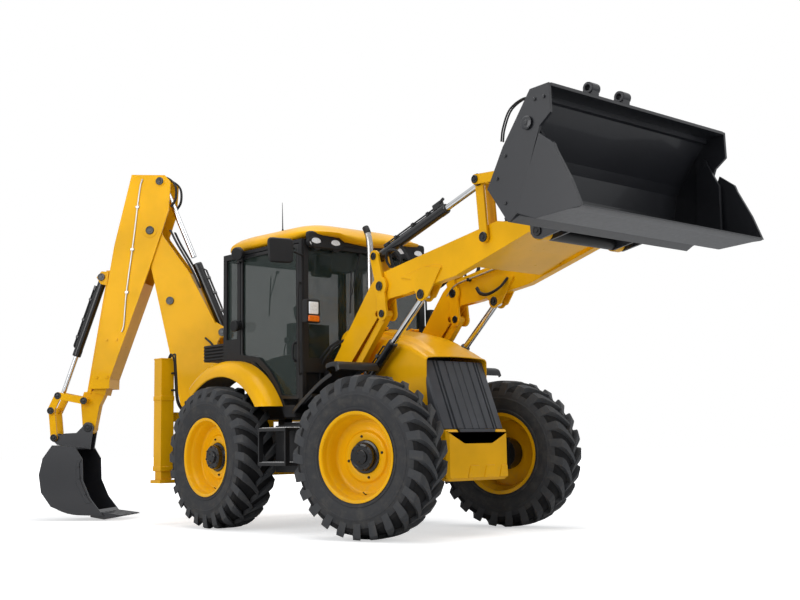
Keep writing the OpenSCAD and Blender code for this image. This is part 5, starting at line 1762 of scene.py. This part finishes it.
@dataclass(frozen=True)
class Ram:
    """Trim of one hydraulic cylinder: its gland, feed pipes, pipe clips and port blocks.

    base is the barrel's eye and end the rod's eye at rest, in the plane y; reach is the distance
    from the barrel's eye to the gland, radius the barrel's, and clips stand at shares of the reach.
    """

    base: Pair
    end: Pair
    reach: float
    radius: float
    y: float = 0.0
    pipe_r: float = 0.008
    clips: tuple[float, ...] = (0.30, 0.56, 0.78)
    valve: bool = False

    def at(self, along: float, off: float, side: float = 0.0) -> Rgb:
        """The point along the cylinder from the barrel's eye, off the axis upwards, and to the side
        of its plane.

        Args:
            along: the distance from the barrel's eye.
            off: the height off the axis.
            side: the distance to the side.

        Returns:
            The point in the source's frame.
        """
        a, b = np.array(self.base), np.array(self.end)
        way = (b - a) / np.linalg.norm(b - a)
        x, z = a + way * along + np.array([-way[1], way[0]]) * off
        return float(x), self.y + side, float(z)

    def block(self, along: Pair, off: Pair, half: float, edge: float) -> Form:
        """A block between two distances along the cylinder and two heights off its axis.

        Args:
            along: its two distances.
            off: its two heights.
            half: half its width.
            edge: the chamfer's width.

        Returns:
            The closed surface.
        """
        corners = [self.at(along[i], off[j]) for i, j in ((0, 0), (1, 0), (1, 1), (0, 1))]
        return slab([(x, z) for x, _, z in corners], self.y - half, self.y + half, Lay.SIDE, edge)

    def forms(self) -> list[Form]:
        """The surfaces of the trim.

        Returns:
            The surfaces.
        """
        r, end = self.radius, self.reach
        ring = [(r * 0.71, -0.004), (r * 1.02, -0.004), (r * 1.02, 0.007), (r * 0.96, 0.013),
                (r * 0.71, 0.013)]
        gland = Place.facing(self.at(end, 0), np.subtract(self.at(1, 0), self.at(0, 0)))
        forms = [turned(ring, 32, True).put(gland)]
        line = [(0.130, r - 0.004), (0.150, r + 0.016), (0.22, r + 0.018), (end - 0.16, r + 0.018),
                (end - 0.10, r + 0.016), (end - 0.08, r - 0.004)]
        for side in (-0.017, 0.017):
            forms.append(hose([self.at(along, off, side) for along, off in line], 26, self.pipe_r, 8))
        for share in self.clips:
            clip = (end * share - 0.015, end * share + 0.015)
            forms.append(self.block(clip, (r - 0.006, r + 0.029), 0.032, 0.003))
        forms.append(self.block((0.115, 0.175), (r - 0.006, r + 0.022), 0.032, 0.004))
        if self.valve:
            forms.append(self.block((end - 0.130, end - 0.030), (r - 0.006, r + 0.052), 0.030, 0.006))
            forms.append(tube([self.at(end - 0.05, r + 0.03, -0.02),
                               self.at(end + 0.02, r + 0.045, -0.02)], 0.014, 12))
        return forms


@dataclass
class Loader:
    """Trim of the loader's arms, linkage and cylinders: pins, weld beads, hoses, pipes and valves."""

    arm_out: float = 0.505
    mid: float = 0.465
    crank_pin: Pair = (1.978, 2.254)
    crank_top: Pair = (1.901, 2.541)
    crank_low: Pair = (2.006, 1.997)
    lever_pin: Pair = (3.320, 2.523)
    lever_top: Pair = (3.277, 3.019)
    lift_top: Pair = (2.515, 2.125)
    bucket_pin: Pair = (3.920, 2.490)
    arm_pin: Pair = (1.250, 1.450)
    lift_base: Pair = (1.330, 1.050)
    yoke: Pair = (0.543, 0.396)  # outer and inner ends of a pin, from the machine's middle plane
    eye: Pair = (0.543, 0.393)
    lever: Pair = (0.584, 0.397)
    strap: Pair = (0.584, 0.509)
    lug: Pair = (0.525, 0.411)
    hose_r: float = 0.012

    def pins(self) -> None:
        """Collars and caps of the linkage's pins, each on the body that its pin is fixed to."""
        link_root = tuple(np.add(self.arm_pin, self.crank_low) - self.crank_pin)
        link_end = tuple(np.add(self.bucket_pin, self.lever_top) - self.lever_pin)
        table = [("arm_pins", [self.arm_pin, link_root, self.lift_base], 0.030, self.yoke, "chassis"),
                 ("crank_pins", [self.crank_pin], 0.030, self.yoke, "loader_arms"),
                 ("crank_end_pins", [self.crank_low, self.crank_top], 0.024, self.yoke, "bell_cranks"),
                 ("lever_caps", [self.lever_pin], 0.030, self.eye, "lever_pins"),
                 ("lever_end_pins", [self.lever_top], 0.024, self.lever, "tip_levers"),
                 ("bucket_caps", [self.bucket_pin], 0.030, self.eye, "bucket_pins"),
                 ("bucket_end_pins", [link_end], 0.024, self.strap, "bucket_back"),
                 ("lift_caps", [self.lift_top], 0.030, self.lug, "loader_arms")]
        for name, spots, radius, (outer, inner), body in table:
            forms = [f for at in spots for f in Pin(at, radius, (-outer, -inner)).forms()]
            add(name, both_sides(forms), GLOSS_BLACK, body)

    def plates(self) -> None:
        """Raised wear plates with weld beads on the arms' faces, and the beads of the lift lugs."""
        shield = rounded([(2.230, 2.300), (2.470, 2.352), (2.700, 2.372), (2.790, 2.345),
                          (2.640, 2.200), (2.560, 2.190), (2.420, 2.270), (2.330, 2.285)], 0.03, 4)
        forms = [slab(shield, -self.arm_out - 0.006, -self.arm_out + 0.002, Lay.SIDE, 0.003)]
        forms.append(bead(shield, -self.arm_out - 0.002, 0.004, 6))
        joint = curve([(2.006, -self.arm_out, 2.385), (2.050, -self.arm_out, 2.30),
                       (2.075, -self.arm_out, 2.135)], 14)
        forms.append(tube(joint, 0.004, 6))
        add("arm_plates", both_sides(forms), YELLOW, "loader_arms")
        link = np.subtract(self.crank_low, self.crank_pin)
        start, end = np.add(self.arm_pin, link), np.array(self.crank_low)
        way = (end - start) / np.linalg.norm(end - start)
        up = np.array([-way[1], way[0]])
        near, far = start + way * 0.10, end - way * 0.10
        rim = [near + up * 0.036, far + up * 0.036, far + up * 0.028, near + up * 0.028]
        low = [p - up * 0.064 for p in rim]
        ribs = [slab(r, -self.mid - 0.033, -self.mid + 0.033, Lay.SIDE, 0.001) for r in (rim, low)]
        add("link_ribs", both_sides(ribs), YELLOW, "levelling_links")

    def hoses(self) -> None:
        """Bent hoses at the arms: loops at the cranks, the pair under each arm, and the pipe to the
        clam."""
        loops = []
        for dy, k in ((-0.020, 0.0), (0.020, 0.055)):
            y = -self.mid + dy
            path = [(2.075, y, 2.420), (2.045, y - 0.02, 2.490 + k), (2.085, y - 0.04, 2.565 + k),
                    (2.185, y - 0.03, 2.560 + k), (2.235 + k, y - 0.01, 2.480),
                    (2.215 + k, y, 2.428)]
            loops.append(hose(path, 40, self.hose_r))
        add("crank_hoses", both_sides(loops), HOSE, "loader_arms")
        under = []
        for y, k in ((-0.400, 0.0), (-0.360, 0.05)):
            path = [(2.300 + k, y, 2.270), (2.360 + k, y + 0.01, 2.210),
                    (2.480 + k, y + 0.03, 2.190), (2.620 + k, y + 0.02, 2.240),
                    (2.700 + k, y, 2.320)]
            under.append(hose(path, 30, self.hose_r))
        add("under_arm_hoses", both_sides(under), HOSE, "loader_arms")
        pipes, clips = [], []
        for y in (0.412, 0.396):
            path = [(1.90, y, 2.235), (2.04, y, 2.335), (2.40, y, 2.400), (2.90, y, 2.490),
                    (3.16, y, 2.530), (3.24, y - 0.02, 2.512)]
            pipes.append(hose(path, 48, 0.007, 8))
        for x in (2.20, 2.62, 3.02):
            z = 2.364 + (x - 2.20) * 0.18
            clips.append(brick((x - 0.014, 0.386, z - 0.016), (x + 0.014, 0.4252, z + 0.016), 0.003))
        add("arm_pipes", both_sides(pipes), ZINC, "loader_arms")
        add("arm_pipe_clips", both_sides(clips), SEAL, "loader_arms")
        root = []
        for y, k in ((-0.560, 0.0), (-0.585, 0.04)):
            path = [(1.16, y, 1.10), (1.10 - k, y, 1.30), (1.13 - k, y, 1.56),
                    (1.26 - k, y + 0.03, 1.72), (1.40 - k, y + 0.06, 1.80)]
            root.append(hose(path, 26, self.hose_r))
        add("tower_hoses", both_sides(root), HOSE, "chassis")

    def build(self) -> None:
        """Makes the loader's pieces."""
        self.pins()
        self.plates()
        tip = Ram(self.crank_top, self.lever_top, 0.954, 0.044, -self.mid, valve=True)
        lift = Ram(self.lift_base, self.lift_top, 1.000, 0.044, -self.mid)
        add("tip_cylinder_trim", both_sides(tip.forms()), GLOSS_BLACK, "tip_barrels")
        add("lift_cylinder_trim", both_sides(lift.forms()), GLOSS_BLACK, "lift_barrels")
        self.hoses()


@dataclass
class Bucket:
    """Trim of the loader bucket: edge bolts, ribs, hinge caps, hoses and the floor's wear strips."""

    half_w: float = 1.175
    clam_pin: Pair = (4.390, 3.166)

    def build(self) -> None:
        """Makes the bucket's pieces."""
        h = self.half_w
        back, clam = [], []
        bolts = [(4.470, 3.330), (4.560, 3.330), (4.160, 2.960), (4.070, 2.800), (4.150, 2.600)]
        cap = [(0, 0), (0.052, 0), (0.052, 0.006), (0.044, 0.010), (0.020, 0.010), (0.016, 0.016),
               (0, 0.016)]
        for bar in ([(4.425, 3.405), (4.606, 3.414), (4.606, 3.432), (4.425, 3.424)],
                    [(4.415, 3.400), (4.440, 3.402), (4.440, 3.360), (4.412, 3.350)]):
            back.append(slab(bar, -h + 0.060, h - 0.060, Lay.SIDE, 0.004))
        for side in (-1, 1):
            place = Place.outward(self.clam_pin[0], side * (h - 0.020), self.clam_pin[1], side)
            back.append(turned(cap, 32).put(place))
            for x, z in bolts:
                back.append(nut(0.013, 0.012).put(Place.outward(x, side * (h - 0.0325), z, side)))
        for t in np.linspace(0.06, 0.94, 12):
            spot = (4.880 - 0.055, -h + 0.05 + t * (2 * h - 0.10), 2.4715 - 0.003)
            clam.append(nut(0.012, 0.010).put(Place.facing(spot, (0, 0, 1))))
        strip = [(4.790, 2.4655), (4.900, 2.4700), (4.905, 2.4585), (4.880, 2.449), (4.790, 2.450)]
        clam.append(slab(strip, -h + 0.002, h - 0.002, Lay.SIDE, 0.003))
        add("bucket_trim", back, CHARCOAL, "bucket_back")
        add("clam_trim", clam, CHARCOAL, "bucket_clam")
        arcs = []
        for y in (-1.085, -1.062):
            path = [(4.42, y, 3.36), (4.30, y, 3.385), (4.16, y, 3.33), (4.085, y, 3.20),
                    (4.065, y, 3.10)]
            arcs.append(hose(path, 28, 0.007))
        add("clam_hoses", both_sides(arcs), HOSE, "bucket_back")
        hinge = []
        bush = [(0.026, -0.006), (0.044, -0.006), (0.044, 0.006), (0.026, 0.006)]
        for y in (-0.600, -0.220):
            for dy in (-0.046, 0.046):
                hinge.append(turned(bush, 28, True).put(Place.outward(4.570, y + dy, 3.490, 1)))
        add("fork_bushes", hinge, CAST, "bucket_back")


@dataclass
class Backhoe:
    """Trim of the boom, dipper, cylinders and digging bucket, drawn in the backhoe's frame."""

    dipper_pin: Pair = (0.880, 3.320)
    boom_root: Pair = (0.310, 1.000)
    boom_ram_base: Pair = (0.080, 1.125)
    boom_ram_top: Pair = (0.640, 2.490)
    dipper_ram_base: Pair = (0.020, 2.110)
    dipper_ram_top: Pair = (0.770, 3.900)
    hoe_ram_base: Pair = (1.490, 2.800)
    lever_ram: Pair = (1.970, 1.420)
    lever_root: Pair = (1.656, 1.356)
    hitch_pin: Pair = (2.021, 0.937)
    hoe_pivot: Pair = (1.624, 1.044)
    boom_half: float = 0.140
    dipper_half: float = 0.165
    bucket_side: Pair = (0.2995, 0.3085)

    def pins(self) -> None:
        """Collars and caps of the pins, each on the body that its pin is fixed to."""
        lever_end = tuple(np.add(self.lever_root, self.hitch_pin) - self.hoe_pivot)
        table = [("dipper_pin_caps", self.dipper_pin, 0.034, 0.174, "boom"),
                 ("boom_root_caps", self.boom_root, 0.034, 0.214, "kingpost"),
                 ("boom_ram_caps", self.boom_ram_base, 0.034, 0.214, "kingpost"),
                 ("boom_rod_caps", self.boom_ram_top, 0.032, 0.150, "boom"),
                 ("dipper_ram_caps", self.dipper_ram_base, 0.032, 0.146, "boom"),
                 ("dipper_rod_caps", self.dipper_ram_top, 0.032, 0.172, "dipper"),
                 ("hoe_ram_caps", self.hoe_ram_base, 0.030, 0.090, "dipper_slide"),
                 ("lever_root_caps", self.lever_root, 0.028, 0.146, "dipper_slide"),
                 ("hoe_pivot_caps", self.hoe_pivot, 0.032, 0.086, "dipper_slide"),
                 ("hoe_rod_caps", self.lever_ram, 0.028, 0.140, "hoe_lever"),
                 ("hoe_link_caps", lever_end, 0.028, 0.140, "hoe_lever"),
                 ("hitch_caps", self.hitch_pin, 0.028, 0.112, "hoe_bucket")]
        for name, at, radius, half, body in table:
            add(name, Pin(at, radius, (-half, half)).forms(), GLOSS_BLACK, body, Place.hoe())

    def hoses(self) -> None:
        """Bent hoses over the boom's top, at its foot, and the pipes down the dipper."""
        hoe = Place.hoe()
        top, foot, side = [], [], []
        for y in (-0.105, -0.075, 0.075, 0.105):
            path = [(0.30, y, 2.640), (0.40, y, 2.860), (0.58, y, 3.170), (0.66, y, 3.330)]
            top.append(hose(path, 30, 0.010))
        for y in (-0.190, -0.176):
            path = [(0.10, y, 1.36), (0.02, y, 1.52), (0.05, y, 1.80), (0.13, y + 0.03, 1.96),
                    (0.22, y + 0.045, 2.05)]
            foot.append(hose(path, 26, 0.011))
        for y in (-0.176, 0.176):
            path = [(0.975, y, 3.93), (1.010, y, 3.78), (1.075, y, 3.20), (1.150, y, 2.60),
                    (1.175, y, 2.24), (1.200, y, 2.14)]
            side.append(hose(path, 40, 0.009))
        for z, x in ((3.60, 1.030), (3.10, 1.085), (2.60, 1.146)):
            clip = [(x - 0.020, z - 0.014), (x + 0.022, z - 0.014), (x + 0.022, z + 0.014),
                    (x - 0.020, z + 0.014)]
            for way in (-1, 1):
                side.append(slab(clip, *sorted((way * 0.160, way * 0.188)), Lay.SIDE, 0.003))
        add("boom_top_hoses", top, HOSE, "boom", hoe)
        add("boom_foot_hoses", foot + [mirrored(f) for f in foot], HOSE, "boom", hoe)
        add("dipper_pipes", side, ZINC, "dipper", hoe)
        loop = []
        for y in (-0.120, -0.090, 0.090, 0.120):
            path = [(0.90, y, 3.965), (0.80, y, 3.970), (0.68, y, 3.940), (0.60, y, 3.85),
                    (0.595, y, 3.70), (0.65, y, 3.60)]
            loop.append(hose(path, 30, 0.010))
        add("dipper_top_hoses", loop, HOSE, "dipper", hoe)

    def plates(self) -> None:
        """Doubler plates on the boom's and dipper's sides, and bolt heads on the dipper's."""
        boom, dipper = [], []
        for way in (-1, 1):
            for at, r in ((self.boom_root, 0.100), (self.dipper_pin, 0.105),
                          (self.dipper_ram_base, 0.055)):
                faces = sorted((way * (self.boom_half - 0.001), way * (self.boom_half + 0.006)))
                boom.append(disc(at, r, *faces))
            for at, r in ((self.dipper_pin, 0.085), (self.dipper_ram_top, 0.060)):
                faces = sorted((way * self.dipper_half, way * (self.dipper_half + 0.006)))
                dipper.append(disc(at, r, *faces))
            for z in (1.62, 2.05):
                for dx in (-0.060, 0.060):
                    x, y = 1.430 - (z - 1.62) * 0.25 + dx, way * (self.dipper_half + 0.001)
                    dipper.append(nut(0.014, 0.012).put(Place.outward(x, y, z, way)))
        add("boom_doublers", boom, YELLOW, "boom", Place.hoe())
        add("dipper_doublers", dipper, YELLOW, "dipper", Place.hoe())

    def bucket(self) -> None:
        """Side cutters with their bolts, and the wear ribs of the digging bucket."""
        forms = []
        for side in (-1, 1):
            cutter = [(1.600, 0.690), (1.630, 0.640), (1.615, 0.450), (1.530, 0.260),
                      (1.480, 0.200), (1.545, 0.190), (1.665, 0.420), (1.672, 0.655)]
            faces = sorted(side * depth for depth in self.bucket_side)
            forms.append(slab(rounded(cutter, 0.01, 3), *faces, Lay.SIDE, 0.003))
            for x, z in ((1.640, 0.610), (1.630, 0.480), (1.560, 0.300)):
                spot = Place.outward(x, side * self.bucket_side[1], z, side)
                forms.append(nut(0.012, 0.010).put(spot))
        around = curve([(2.072, 0.700), (2.112, 0.520), (2.082, 0.318), (1.961, 0.157),
                        (1.760, 0.077), (1.50, 0.061)], 22)
        for y in (-0.20, 0.0, 0.20):
            path = np.column_stack([around[:, 0], np.full(len(around), y), around[:, 1]])
            forms.append(tube(path, 0.010, 6))
        add("digging_bucket_trim", forms, CHARCOAL, "hoe_bucket", Place.hoe())

    def build(self) -> None:
        """Makes the backhoe's pieces."""
        self.pins()
        rams = (("boom", Ram(self.boom_ram_base, self.boom_ram_top, 1.060, 0.062)),
                ("dipper", Ram(self.dipper_ram_base, self.dipper_ram_top, 0.880, 0.056)),
                ("hoe", Ram(self.hoe_ram_base, self.lever_ram, 0.960, 0.048)))
        for name, ram in rams:
            add(f"{name}_cylinder_trim", ram.forms(), GLOSS_BLACK, f"{name}_barrel", Place.hoe())
        self.hoses()
        self.plates()
        self.bucket()


@dataclass
class Stabilisers:
    """Trim of the two stabiliser housings: caps, wear pads, hoses and rear lamps."""

    leg_x: Pair = (-1.000, -0.850)
    leg_y: Pair = (1.005, 1.155)
    top: float = 1.745

    def build(self) -> None:
        """Makes the stabilisers' pieces."""
        (x0, x1), (y0, y1) = self.leg_x, self.leg_y
        cap = [brick((x0 - 0.004, -y1 - 0.004, self.top - 0.012),
                     (x1 + 0.004, -y0 + 0.004, self.top + 0.004), 0.003)]
        for z in (0.565, 1.30):
            collar = [(-y1 - 0.006, z), (-y0 + 0.006, z), (-y0 + 0.006, z + 0.050),
                      (-y1 - 0.006, z + 0.050)]
            cap.append(slab(rounded(collar, 0.006, 3), x0 - 0.006, x1 + 0.006, Lay.FACE, 0.003))
        add("leg_collars", both_sides(cap), YELLOW, "chassis")
        hoses = []
        for k in (0.0, 0.028):
            x = x1 + 0.020 + k
            path = [(x1 - 0.03, -y0 - 0.05, self.top + 0.002),
                    (x, -y0 - 0.05 + k, self.top + 0.045), (x + 0.03, -y0 - 0.03, self.top - 0.02),
                    (x + 0.02, -y0 - 0.01, 1.55), (x + 0.01, -y0 + 0.02, 1.30),
                    (x - 0.01, -0.90, 1.18)]
            hoses.append(hose(path, 40, 0.010))
        add("leg_hoses", both_sides(hoses), HOSE, "chassis")
        clips = []
        for z in (1.40, 1.58):
            low, high = (x1 - 0.001, -y0 - 0.035, z), (x1 + 0.050, -y0 + 0.010, z + 0.020)
            clips.append(brick(low, high, 0.003))
        add("leg_clips", both_sides(clips), SEAL, "chassis")
        rear = [brick((-0.944, -0.82, 1.215), (-0.905, -0.62, 1.300), 0.006, 0.01)]
        add("rear_lamp_shells", both_sides(rear), TRIM, "chassis")
        red = [brick((-0.950, -0.81, 1.222), (-0.940, -0.72, 1.293), 0.003, 0.004)]
        amber = [brick((-0.950, -0.715, 1.222), (-0.940, -0.63, 1.293), 0.003, 0.004)]
        add("tail_lenses", both_sides(red), RED_LENS, "chassis")
        add("rear_indicator_lenses", both_sides(amber), AMBER_LENS, "chassis")


def main() -> None:
    """Builds the machine's looks in order."""
    logging.basicConfig(level=logging.INFO, format="%(message)s")
    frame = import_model()
    Studio().build()
    Dressing().apply(frame)
    for front in (True, False):
        for side in (-1, 1):
            Wheel(front, side).build()
    for part in (Nose(), Cab(), Body(), Loader(), Bucket(), Backhoe(), Stabilisers()):
        part.build()


if __name__ == "__main__":
    main()
